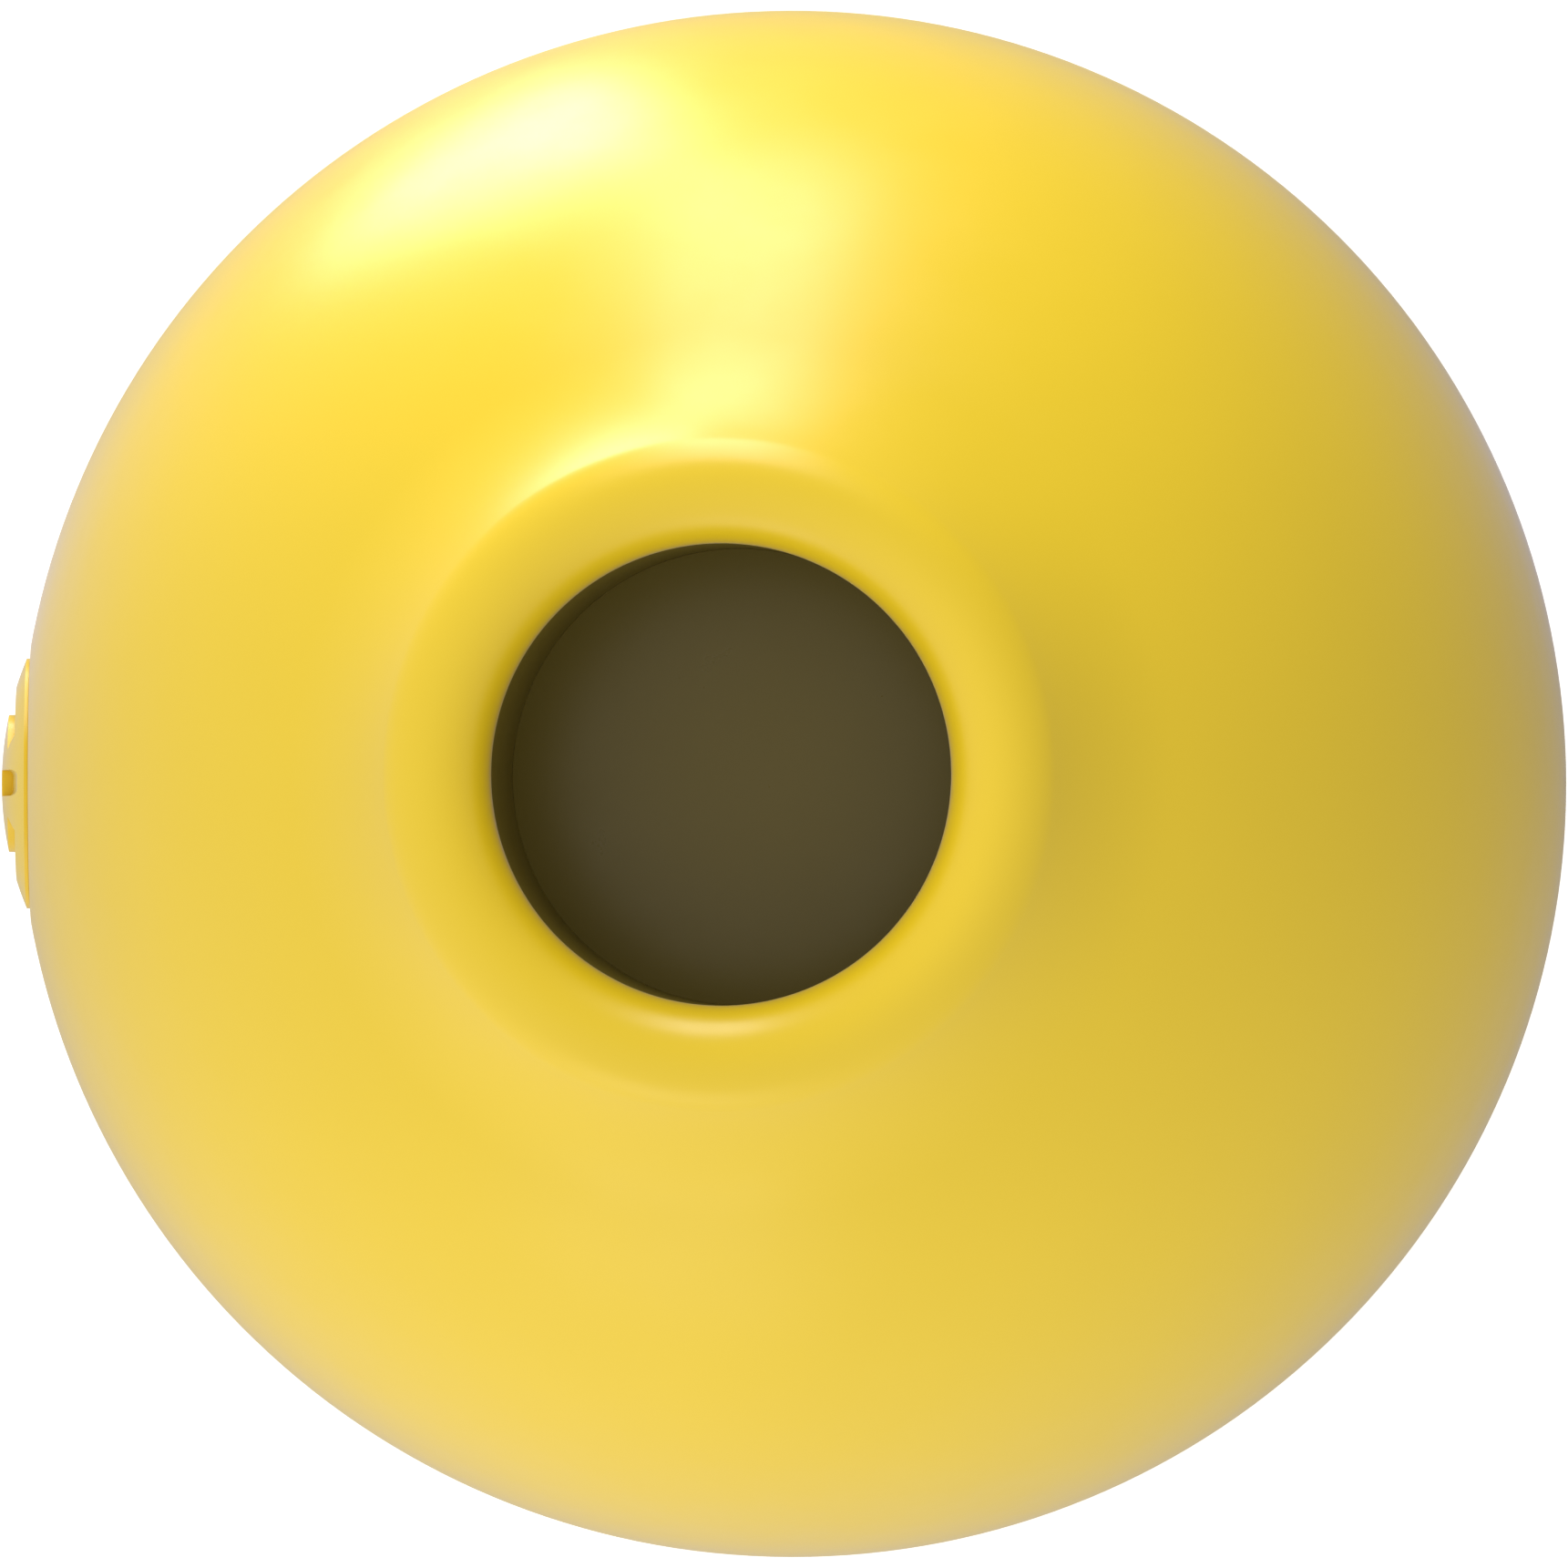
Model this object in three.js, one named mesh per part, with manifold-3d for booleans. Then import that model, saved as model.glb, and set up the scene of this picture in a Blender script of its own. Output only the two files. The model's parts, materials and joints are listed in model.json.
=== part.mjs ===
// A floating dive computer: a hollow ball float with a rolled neck, and in the well behind the neck a
// sealed electronics canister whose round dark window looks up. Millimetres, +Z up, resting on its foot.

import * as THREE from "three";
import { mergeVertices } from "three/addons/utils/BufferGeometryUtils.js";
import Module from "manifold-3d";

const wasm = await Module();
wasm.setup();

const TURN = 2 * Math.PI;
const THIRDS = [0, 1, 2].map((i) => (i * TURN) / 3);
const QUARTERS = [0, 1, 2, 3].map((i) => (i * TURN) / 4);
const SIDES = [1, -1];

// Driving dimensions.
const FIT = 0.3; // gap between neighbouring pieces
const CLEARANCE = 0.4; // round a piece that sits in a bored pocket
const WELD = 1e-4; // vertices closer than this are one vertex
const OVERRUN = 1; // how far a cutter runs past the face that it opens

// Float.
const FLOAT_R = 140; // radius at its equator
const EQUATOR_Z = 142;
const UPPER_RISE = 160.3; // semi-axis of the float above the equator, and below it the radius
const WALL = 4;
const FLAT_Z = 14; // flat underside that carries the base ring
const FLOOR_THICK = 6;
const NECK_JOIN = THREE.MathUtils.degToRad(56.8); // where the body turns into the neck
const LIP_CREST_Z = EQUATOR_Z + 160.4;
const LIP_CIRCLE_R = 49.5;
const LIP_R = 9.8;
const LIP_TANGENT = THREE.MathUtils.degToRad(31); // where the neck meets the rolled lip
const LIP_LAND = 1; // straight stretch of the throat under the lip
const NECK_ROOT_R = 56; // inner wall of the neck

// Well and window.
const WELL_R = 39.75; // bore of the sleeve
const SLEEVE_R = 43.2;
const SLEEVE_FLANGE_R = 50;
const SLEEVE_Z = 11.3;
const WINDOW_Z = EQUATOR_Z + 112.8; // outer face of the window
const WINDOW_THICK = 5;
const WINDOW_PLUG = 2.8; // depth of the window's plug in the tube
const WINDOW_CHAMFER = 0.5;
const WINDOW_GAP = 0.4; // between the window and the sleeve

// Canister and its lower cap.
const CANISTER_R = 39.2;
const CANISTER_BORE = 36.2;
const PLUG_R = 35.8;
const SEAL_GROOVE_INNER = 36.9;
const SEAL_GROOVE_OUTER = 38.5;
const SEAL_GROOVE_DEPTH = 1.5;
const SEAL_R = 0.55;
const CAP_FACE_Z = 5;
const CAP_SEAT_Z = 14;
const CAP_PLUG_TOP = 27;
const CAP_FLOOR_TOP = 18;
const CAP_CUP_R = 27;
const CAP_CUP_FLOOR_R = 25;
const CAP_SEAL_Z = CAP_SEAT_Z + 5.5;
const CAP_SEAL_R = 0.6;
const CAP_GROOVE_R = 34.3;
const NOTCH_R = 36.1; // bottom of the notches that let the lock ring's lugs pass
const NOTCH_LOW = 4;
const NOTCH_HIGH = 9.5;
const NOTCH_SPAN = 0.9; // radians
const TRANSDUCER_R = 23.6;
const TRANSDUCER_LOW = 5.6;
const TRANSDUCER_HIGH = 11.7;
const PAD_R = 24;

// Fittings in the lower cap.
const FITTING_CIRCLE = 30.6;
const BUTTON_ANGLE = Math.PI / 2;
const SENSOR_ANGLE = 0;
const CONTACT_ANGLES = [Math.PI - 0.16, Math.PI + 0.16];
const SENSOR_R = 4.4;
const SENSOR_FACE = 3.8;
const SENSOR_TOP = 12;
const SENSOR_PORT_R = 1.2;
const SENSOR_PORT_DEPTH = 2.2;
const CONTACT_R = 1.9;
const CONTACT_FACE = 3.9;
const CONTACT_TOP = 9;
const BUTTON_R = 4;
const BUTTON_FACE = 3;
const BUTTON_FLANGE_R = 4.5;
const BUTTON_FLANGE_LOW = 7.7;
const BUTTON_TOP = 9.2;
const SWITCH_R = 4.4;
const SWITCH_LOW = 14;
const SWITCH_HIGH = 17;

// Base ring, feet, screws, lock ring and bail.
const BASE_R = 56;
const BASE_INNER_R = 45;
const BASE_LOW = 0.8;
const BASE_CHAMFER = 1.5;
const RING_LEDGE_Z = 2.7; // the lock ring turns above this ledge
const RING_ROOM_R = 47;
const FLANGE_ROOM_R = 50.4;
const FLANGE_ROOM_Z = 11;
const SCREW_CIRCLE = 53.2;
const SCREW_R = 1.5;
const SCREW_HOLE_R = 1.9;
const SCREW_HOLE_TOP = FLAT_Z + 4.6;
const SCREW_TIP = FLAT_Z + 4;
const SCREW_HEAD_R = 2.6;
const SCREW_HEAD_LOW = 1.4;
const SCREW_HEAD_HIGH = 3.6;
const HEAD_POCKET_R = 3.1;
const HEAD_POCKET_TOP = 4;
const HEAD_POCKET_SHIFT = 0.4; // towards the axis, so that the pocket stays inside the ring's face
const FOOT_CIRCLE = 50.8;
const FOOT_R = 3.5;
const FOOT_TOP = 1.9;
const RING_R = 46.6;
const RING_INNER_R = 39.9;
const RING_LOW = 3;
const RING_HIGH = 10.7;
const LUG_INNER_R = 36.4;
const LUG_OUTER_R = 41;
const LUG_HIGH = 4.7;
const LUG_SPAN = 0.7; // radians
const GRIP_RIB_INNER_R = 40.4;
const GRIP_RIB_OUTER_R = 44.5;
const GRIP_RIB_LOW = 1.2;
const GRIP_RIB_HIGH = 4;
const GRIP_RIB_SPAN = 0.16; // radians
const GRIP_RIB_ANGLE = 0.2; // from the middle of each lug, in radians
const BAIL_R = 62;
const BAIL_Z = 7;
const ROD_R = 2.5;
const EYE_R = 4.2;
const EYE_BORE_R = 2.3;
const PIN_R = 1.9;
const PIN_HOLE_R = 2.2;
const PIN_ROOT = 49;
const PIN_HEAD_R = 3.4;
const PIN_HEAD_THICK = 1.7;

// Batteries and boards.
const SLED_R = 34;
const SLED_LOW = 31;
const SLED_HIGH = 106;
const SLED_PLATE = 2.5;
const SLED_SPINE_R = 3.2;
const CELL_CIRCLE = 17.5;
const CELL_R = 9.1;
const CELL_LENGTH = 65;
const CELL_LOW = SLED_LOW + SLED_PLATE + 2.6;
const CELL_NUB_R = 4;
const CELL_NUB = 1.5;
const CELL_CHAMFER = 0.3;
const BOARD_WIDTH = 56;
const BOARD_THICK = 1.6;
const BOARD_LOW = SLED_HIGH + 4;
const BOARD_HIGH = BOARD_LOW + 104;
const RAIL_X = 30.4;
const RAIL_WIDTH = 4.6;
const RAIL_DEPTH = 6;
const RAIL_GROOVE = 3;

// Display and aerial.
const DISPLAY_TOP = WINDOW_Z - WINDOW_THICK - WINDOW_PLUG - FIT;
const DISPLAY_SIDE = 46;
const DISPLAY_THICK = 2.4;
const DISPLAY_POCKET = 3.4;
const DISPLAY_FRAME_HEIGHT = 6.5;
const DISPLAY_FRAME_BORE = 18;
const AERIAL_R = 34.5;
const AERIAL_TOP = DISPLAY_TOP - 15.4;
const PATCH_SIDE = 25;
const PATCH_THICK = 4;

// Valve. Heights are in its own frame: 0 is the flat cut on the float, and outwards is up.
const VALVE_HEIGHT = 19.5; // above the equator, where the valve axis leaves the float
const SPOT_DEPTH = 2.4; // depth of the flat cut for the valve
const SPOT_R = 34;
const SPOT_CLEARANCE = 12;
const VALVE_PAD_R = 25; // thicker patch of wall behind the valve
const VALVE_PAD_LOW = -10;
const VALVE_PAD_TOP = -0.5;
const FLANGE_R = 18.9;
const FLANGE_LOW = -1.6;
const FLANGE_FACE = -0.4;
const FLANGE_SEAT = -3; // bottom of the counterbore
const BARREL_R = 13;
const BARREL_LOW = -16;
const CAP_BORE_R = 6.6;
const CAP_BORE_LOW = -12;
const AIR_BORE_R = 3.4;
const POPPET_SEAT = -14;
const POPPET_ROOM_R = 7.5;
const TAIL_R = 10.5;
const TAIL_LOW = -25;
const CAP_SEAL_INNER = 8;
const CAP_SEAL_OUTER = 11.5;
const CAP_SEAL_LOW = -1.1;
const CAP_SEAL_ROOM_INNER = 7.6;
const CAP_SEAL_ROOM_OUTER = 11.9;
const CAP_SEAL_ROOM_LOW = -1.4;
const GASKET_INNER = 13.8;
const GASKET_OUTER = 18.8;
const GASKET_LOW = -2.7;
const GASKET_TOP = -1.9;
const NUT_R = 20; // across its corners, halved
const NUT_BORE = 13.5;
const NUT_LOW = -15.4;
const NUT_THICK = 5;
const STEM_LOW = -27;
const STEM_R = 1.2;
const STEM_TOP_R = 1.5;
const STEM_TOP = -9.6;
const POPPET_R = 6.2;
const POPPET_THICK = 2;
const CAGE_INNER = 2;
const CAGE_OUTER = 7.1;
const CAGE_LOW = -24.9;
const CAGE_TOP = -23.5;

// Valve cap.
const VALVE_CAP_R = 22.6;
const VALVE_DOME_TOP = 5.44;
const VALVE_RIM_TOP = 0.9;
const CAP_PLUG_R = 6.2;
const CAP_PLUG_TIP_R = 5.4;
const CAP_PLUG_LOW = -8.3;
const CAP_PLUG_CHAMFER = 0.8;
const GRIP_R = 12.4; // inner wall of the finger pockets
const POCKET_FLOOR = 2.7;
const POCKET_SPAN = THREE.MathUtils.degToRad(122);
const SLOT_WIDTH = 4.7;
const SLOT_START = 3.2; // from the axis
const SLOT_FLOOR = 3.3; // height of the slot's floor at its start
const SLOT_CORNER = 1.4;
const SLOT_FALL = 0.07; // radians

const SMOOTH = 36; // facets round the large pieces
const MEDIUM = 24;
const SMALL = 12;
const TINY = 8;

const materials = {
  yellow: new THREE.MeshStandardMaterial({ color: 0xe9c646, roughness: 0.4 }),
  olive: new THREE.MeshStandardMaterial({ color: 0x3c3822, roughness: 0.5 }),
  window: new THREE.MeshStandardMaterial({ color: 0x2c2a1a, roughness: 0.15 }),
  graphite: new THREE.MeshStandardMaterial({ color: 0x2a2a28, roughness: 0.6 }),
  rubber: new THREE.MeshStandardMaterial({ color: 0x151515, roughness: 0.85 }),
  steel: new THREE.MeshStandardMaterial({ color: 0xb4b6b8, roughness: 0.3, metalness: 1 }),
  gold: new THREE.MeshStandardMaterial({ color: 0xd8b25a, roughness: 0.3, metalness: 1 }),
  board: new THREE.MeshStandardMaterial({ color: 0x1f4a33, roughness: 0.5 }),
  ceramic: new THREE.MeshStandardMaterial({ color: 0xd9cfb8, roughness: 0.6 }),
  cell: new THREE.MeshStandardMaterial({ color: 0x3a6aa8, roughness: 0.4 }),
};

const computer = new THREE.Group();
computer.name = "floating_dive_computer";

// Adds one named piece to a group.
function add(name, geometry, material, parent = computer) {
  const mesh = new THREE.Mesh(geometry, material);
  mesh.name = name;
  parent.add(mesh);
  return mesh;
}

const point = (r, z) => new THREE.Vector2(r, z);

// Points of an elliptical arc about (r, z), from one angle to another.
function arc(r, z, radius, rise, from, to, steps) {
  const points = [];
  for (let i = 0; i <= steps; i += 1) {
    const angle = from + ((to - from) * i) / steps;
    points.push(point(r + radius * Math.cos(angle), z + rise * Math.sin(angle)));
  }
  return points;
}

// A solid of revolution about Z. The profile runs anticlockwise: up on its outer side.
function turned(profile, facets = MEDIUM) {
  return new THREE.LatheGeometry(profile, facets).rotateX(Math.PI / 2);
}

// A closed ring with a rectangular section.
function ring(inner, outer, low, high, facets = MEDIUM) {
  const corners = [point(inner, low), point(outer, low), point(outer, high), point(inner, high)];
  return turned([...corners, corners[0].clone()], facets);
}

function disc(radius, low, high, facets = MEDIUM) {
  return turned([point(0, low), point(radius, low), point(radius, high), point(0, high)], facets);
}

function torus(circle, radius, z) {
  const sides = 6;
  return turned(arc(circle, z, radius, radius, 0, TURN, sides), SMOOTH);
}

function block(width, depth, height, x, y, z) {
  return new THREE.BoxGeometry(width, depth, height).translate(x, y, z);
}

// Moves a geometry made on the axis to a place given by its distance from Z and its angle.
function around(geometry, distance, angle) {
  return geometry.translate(distance, 0, 0).rotateZ(angle);
}

function toSolid(geometry) {
  const bare = geometry.index ? geometry.toNonIndexed() : geometry.clone();
  bare.deleteAttribute("normal");
  bare.deleteAttribute("uv");
  const merged = mergeVertices(bare, WELD);
  const triVerts = new Uint32Array(merged.index.array);
  const vertProperties = merged.attributes.position.array;
  return new wasm.Manifold(new wasm.Mesh({ numProp: 3, vertProperties, triVerts }));
}

function toGeometry(solid) {
  const mesh = solid.getMesh();
  const geometry = new THREE.BufferGeometry();
  geometry.setAttribute("position", new THREE.BufferAttribute(mesh.vertProperties, 3));
  geometry.setIndex(new THREE.BufferAttribute(mesh.triVerts, 1));
  geometry.computeVertexNormals();
  return geometry;
}

function cut(geometry, cutters) {
  return toGeometry(cutters.reduce((left, cutter) => left.subtract(toSolid(cutter)), toSolid(geometry)));
}

function join(geometry, others) {
  return toGeometry(others.reduce((whole, other) => whole.add(toSolid(other)), toSolid(geometry)));
}

// A sector of a ring, centred on the +X direction.
function sector(inner, outer, low, high, span) {
  const shape = new THREE.Shape();
  shape.absarc(0, 0, outer, -span / 2, span / 2, false);
  shape.absarc(0, 0, inner, span / 2, -span / 2, true);
  const options = { depth: high - low, bevelEnabled: false, curveSegments: 10 };
  return new THREE.ExtrudeGeometry(shape, options).translate(0, 0, low);
}

// The centre line of a compression spring standing on Z.
class Helix extends THREE.Curve {
  constructor(radius, low, high, turns) {
    super();
    Object.assign(this, { radius, low, high, turns });
  }

  getPoint(t, target = new THREE.Vector3()) {
    const angle = t * this.turns * TURN;
    const z = this.low + (this.high - this.low) * t;
    return target.set(this.radius * Math.cos(angle), this.radius * Math.sin(angle), z);
  }
}

// The half circle of a bail, lying flat, from +Y through +X to -Y.
class HalfRing extends THREE.Curve {
  constructor(radius, z) {
    super();
    Object.assign(this, { radius, z });
  }

  getPoint(t, target = new THREE.Vector3()) {
    const angle = Math.PI * (0.5 - t);
    return target.set(this.radius * Math.cos(angle), this.radius * Math.sin(angle), this.z);
  }
}

// A round rod along a curve.
function rod(curve, radius, steps, sides) {
  const section = new THREE.Shape(arc(0, 0, radius, radius, 0, TURN, sides).slice(0, sides));
  return new THREE.ExtrudeGeometry(section, { extrudePath: curve, steps, bevelEnabled: false });
}

function spring(radius, wire, low, high, turns) {
  const stepsPerTurn = 8;
  const sides = 4;
  return rod(new Helix(radius, low + wire, high - wire, turns), wire, turns * stepsPerTurn, sides);
}

// The valve's frame: its axis is the float's own normal, and its origin lies on the spot face.
function valveFrame() {
  const radius = FLOAT_R * Math.sqrt(1 - (VALVE_HEIGHT / UPPER_RISE) ** 2);
  const tilt = Math.atan2(VALVE_HEIGHT / UPPER_RISE ** 2, radius / FLOAT_R ** 2);
  const out = new THREE.Vector3(-Math.cos(tilt), 0, Math.sin(tilt));
  const origin = new THREE.Vector3(-radius, 0, EQUATOR_Z + VALVE_HEIGHT).addScaledVector(out, -SPOT_DEPTH);
  return { origin, turn: tilt - Math.PI / 2 };
}

const valve = valveFrame();
const inValveFrame = (geometry) =>
  geometry.rotateY(valve.turn).translate(valve.origin.x, valve.origin.y, valve.origin.z);

// Float: outer wall, neck, rolled lip, then back down the inner wall of the air chamber.
function floatProfile() {
  const half = Math.PI / 2;
  const inner = FLOAT_R - WALL;
  const innerRise = UPPER_RISE - WALL;
  const lipZ = LIP_CREST_Z - LIP_R;
  const bore = SLEEVE_R + FIT;
  const floorZ = FLAT_Z + FLOOR_THICK;
  const bottom = Math.asin((FLAT_Z - EQUATOR_Z) / FLOAT_R);
  const body = arc(0, EQUATOR_Z, FLOAT_R, UPPER_RISE, 0, NECK_JOIN, 8);
  const lip = arc(LIP_CIRCLE_R, lipZ, LIP_R, LIP_R, LIP_TANGENT, Math.PI, 7);
  const neckCorner = tangentCorner(body.at(-1), bodySlope(), lip[0], half - LIP_TANGENT);
  const neck = new THREE.QuadraticBezierCurve(body.at(-1), neckCorner, lip[0]).getPoints(4).slice(1, -1);
  const chamberTop = Math.acos(NECK_ROOT_R / inner);
  const ceiling = arc(0, EQUATOR_Z, inner, innerRise, chamberTop, 0, 5);
  const floor = arc(0, EQUATOR_Z, inner, inner, 0, Math.asin((floorZ - EQUATOR_Z) / inner), 5).slice(1);
  return [
    point(bore, FLAT_Z),
    ...arc(0, EQUATOR_Z, FLOAT_R, FLOAT_R, bottom, 0, 7).slice(0, -1),
    ...body,
    ...neck,
    ...lip,
    point(LIP_CIRCLE_R - LIP_R, lipZ - LIP_LAND),
    point(bore, lipZ - LIP_LAND),
    point(bore, ceiling[0].y),
    ...ceiling,
    ...floor,
    point(bore, floorZ),
    point(bore, FLAT_Z),
  ];
}

// Slope of the body's outer wall where the neck begins.
function bodySlope() {
  return Math.atan2(UPPER_RISE * Math.cos(NECK_JOIN), FLOAT_R * Math.sin(NECK_JOIN));
}

// Where two walls that rise inwards at the given slopes would meet.
function tangentCorner(low, lowSlope, high, highSlope) {
  const across = low.x - high.x;
  const up = high.y - low.y;
  const sine = Math.sin(highSlope - lowSlope);
  const along = (across * Math.sin(highSlope) - up * Math.cos(highSlope)) / sine;
  return point(low.x - along * Math.cos(lowSlope), low.y + along * Math.sin(lowSlope));
}

const SCREW_ANGLES = QUARTERS.map((angle) => angle + TURN / 16);
const FOOT_ANGLES = SCREW_ANGLES.map((angle) => angle + TURN / 8);

function screwHole(angle, low, high) {
  return around(disc(SCREW_HOLE_R, low, high, TINY), SCREW_CIRCLE, angle);
}

function addFloat() {
  const pad = inValveFrame(disc(VALVE_PAD_R, VALVE_PAD_LOW, VALVE_PAD_TOP));
  const portLow = VALVE_PAD_LOW - 2 * OVERRUN;
  const cutters = [
    inValveFrame(disc(SPOT_R, 0, SPOT_CLEARANCE)),
    inValveFrame(disc(FLANGE_R + CLEARANCE, FLANGE_SEAT, OVERRUN)),
    inValveFrame(disc(BARREL_R + CLEARANCE, portLow, OVERRUN)),
    ...SCREW_ANGLES.map((angle) => screwHole(angle, FLAT_Z - OVERRUN, SCREW_HOLE_TOP)),
  ];
  add("float_shell", cut(join(turned(floatProfile(), SMOOTH), [pad]), cutters), materials.yellow);
}

// Well: the sleeve that joins the neck to the base, so that the air chamber stays dry.
function addSleeve() {
  const top = LIP_CREST_Z - LIP_R - LIP_LAND - FIT;
  const flangeTop = FLAT_Z - FIT;
  const profile = [
    point(WELL_R, SLEEVE_Z),
    point(SLEEVE_FLANGE_R, SLEEVE_Z),
    point(SLEEVE_FLANGE_R, flangeTop),
    point(SLEEVE_R, flangeTop),
    point(SLEEVE_R, top),
    point(WELL_R, top),
    point(WELL_R, SLEEVE_Z),
  ];
  add("throat_sleeve", turned(profile, SMOOTH), materials.olive);
}

// Carries a geometry made on Z to lie along +Y or -Y, at the height of the bail's pivots.
function alongY(geometry, side) {
  return geometry.rotateX((-side * TURN) / 4).translate(0, 0, BAIL_Z);
}

// Base: the ring under the float, with its screws, feet and bail pins.
function addBase() {
  const top = FLAT_Z - FIT;
  const profile = [
    point(BASE_INNER_R, BASE_LOW),
    point(BASE_R - BASE_CHAMFER, BASE_LOW),
    point(BASE_R, BASE_LOW + BASE_CHAMFER),
    point(BASE_R, top),
    point(FLANGE_ROOM_R, top),
    point(FLANGE_ROOM_R, FLANGE_ROOM_Z),
    point(RING_ROOM_R, FLANGE_ROOM_Z),
    point(RING_ROOM_R, RING_LEDGE_Z),
    point(BASE_INNER_R, RING_LEDGE_Z),
    point(BASE_INNER_R, BASE_LOW),
  ];
  const headPocket = (angle) =>
    around(disc(HEAD_POCKET_R, 0, HEAD_POCKET_TOP, SMALL), SCREW_CIRCLE - HEAD_POCKET_SHIFT, angle);
  const footPocket = (angle) =>
    around(disc(FOOT_R + CLEARANCE, 0, FOOT_TOP + FIT, SMALL), FOOT_CIRCLE, angle);
  const pinHole = (side) => alongY(disc(PIN_HOLE_R, PIN_ROOT - 0.5, BASE_R + 4, SMALL), side);
  const cutters = [
    ...SCREW_ANGLES.map((angle) => screwHole(angle, 0, FLAT_Z)),
    ...SCREW_ANGLES.map(headPocket),
    ...FOOT_ANGLES.map(footPocket),
    ...SIDES.map(pinHole),
  ];
  add("base_ring", cut(turned(profile, SMOOTH), cutters), materials.graphite);
  SCREW_ANGLES.forEach((angle, i) => {
    add("base_screw_" + (i + 1), screw(angle), materials.steel);
  });
  FOOT_ANGLES.forEach((angle, i) => {
    const foot = around(disc(FOOT_R, 0, FOOT_TOP, SMALL), FOOT_CIRCLE, angle);
    add("rubber_foot_" + (i + 1), foot, materials.rubber);
  });
  addBail();
}

function screw(angle) {
  const profile = [
    point(0, SCREW_HEAD_LOW),
    point(SCREW_HEAD_R, SCREW_HEAD_LOW),
    point(SCREW_HEAD_R, SCREW_HEAD_HIGH),
    point(SCREW_R, SCREW_HEAD_HIGH),
    point(SCREW_R, SCREW_TIP),
    point(0, SCREW_TIP),
  ];
  return around(turned(profile, SMALL), SCREW_CIRCLE, angle);
}

// Bail: a half ring of rod with an eye at each end, on pins that stick out of the base ring.
function addBail() {
  const eyes = SIDES.map((side) => alongY(disc(EYE_R, BAIL_R - ROD_R, BAIL_R + ROD_R, SMALL), side));
  const boreReach = ROD_R + 3.5;
  const bores = SIDES.map((side) =>
    alongY(disc(EYE_BORE_R, BAIL_R - boreReach, BAIL_R + boreReach, SMALL), side));
  const bow = rod(new HalfRing(BAIL_R, BAIL_Z), ROD_R, 16, 6);
  add("tether_bail", cut(join(bow, eyes), bores), materials.steel);
  const head = BAIL_R + ROD_R + FIT;
  SIDES.forEach((side, i) => {
    const pin = [
      point(0, PIN_ROOT),
      point(PIN_R, PIN_ROOT),
      point(PIN_R, head),
      point(PIN_HEAD_R, head),
      point(PIN_HEAD_R, head + PIN_HEAD_THICK),
      point(0, head + PIN_HEAD_THICK),
    ];
    add("bail_pin_" + (i + 1), alongY(turned(pin, SMALL), side), materials.steel);
  });
}

// Lock ring: held between the sleeve's flange and the base ring, with lugs under the canister.
function addLockRing() {
  const lugs = THIRDS.map((angle) =>
    sector(LUG_INNER_R, LUG_OUTER_R, RING_LOW, LUG_HIGH, LUG_SPAN).rotateZ(angle));
  const ribs = THIRDS.flatMap((angle) => SIDES.map((side) => {
    const rib = sector(GRIP_RIB_INNER_R, GRIP_RIB_OUTER_R, GRIP_RIB_LOW, GRIP_RIB_HIGH, GRIP_RIB_SPAN);
    return rib.rotateZ(angle + side * GRIP_RIB_ANGLE);
  }));
  const band = ring(RING_INNER_R, RING_R, RING_LOW, RING_HIGH, SMOOTH);
  add("lock_ring", join(band, [...lugs, ...ribs]), materials.olive);
}

// Canister: tube, window and lower cap, with a seal at each end.
function addCanister() {
  const seatZ = WINDOW_Z - WINDOW_THICK;
  const tubeTop = seatZ - FIT;
  const grooveZ = tubeTop - SEAL_GROOVE_DEPTH;
  const windowR = WELL_R - WINDOW_GAP;
  const tube = [
    point(CANISTER_BORE, CAP_SEAT_Z + FIT),
    point(CANISTER_R, CAP_SEAT_Z + FIT),
    point(CANISTER_R, tubeTop),
    point(SEAL_GROOVE_OUTER, tubeTop),
    point(SEAL_GROOVE_OUTER, grooveZ),
    point(SEAL_GROOVE_INNER, grooveZ),
    point(SEAL_GROOVE_INNER, tubeTop),
    point(CANISTER_BORE, tubeTop),
    point(CANISTER_BORE, CAP_SEAT_Z + FIT),
  ];
  const lens = [
    point(0, seatZ - WINDOW_PLUG),
    point(PLUG_R, seatZ - WINDOW_PLUG),
    point(PLUG_R, seatZ),
    point(windowR, seatZ),
    point(windowR, WINDOW_Z - WINDOW_CHAMFER),
    point(windowR - WINDOW_CHAMFER, WINDOW_Z),
    point(0, WINDOW_Z),
  ];
  const sealCircle = (SEAL_GROOVE_INNER + SEAL_GROOVE_OUTER) / 2;
  const capSealCircle = CAP_GROOVE_R + 0.85;
  add("canister_tube", turned(tube, SMOOTH), materials.graphite);
  add("window_lens", turned(lens, SMOOTH), materials.window);
  add("window_o_ring", torus(sealCircle, SEAL_R, tubeTop - 0.6), materials.rubber);
  add("lower_o_ring", torus(capSealCircle, CAP_SEAL_R, CAP_SEAL_Z), materials.rubber);
  addLowerCap();
}

// Carries a geometry made on Z to a place in the lower cap.
function inCap(geometry, angle) {
  return around(geometry, FITTING_CIRCLE, angle);
}

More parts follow.
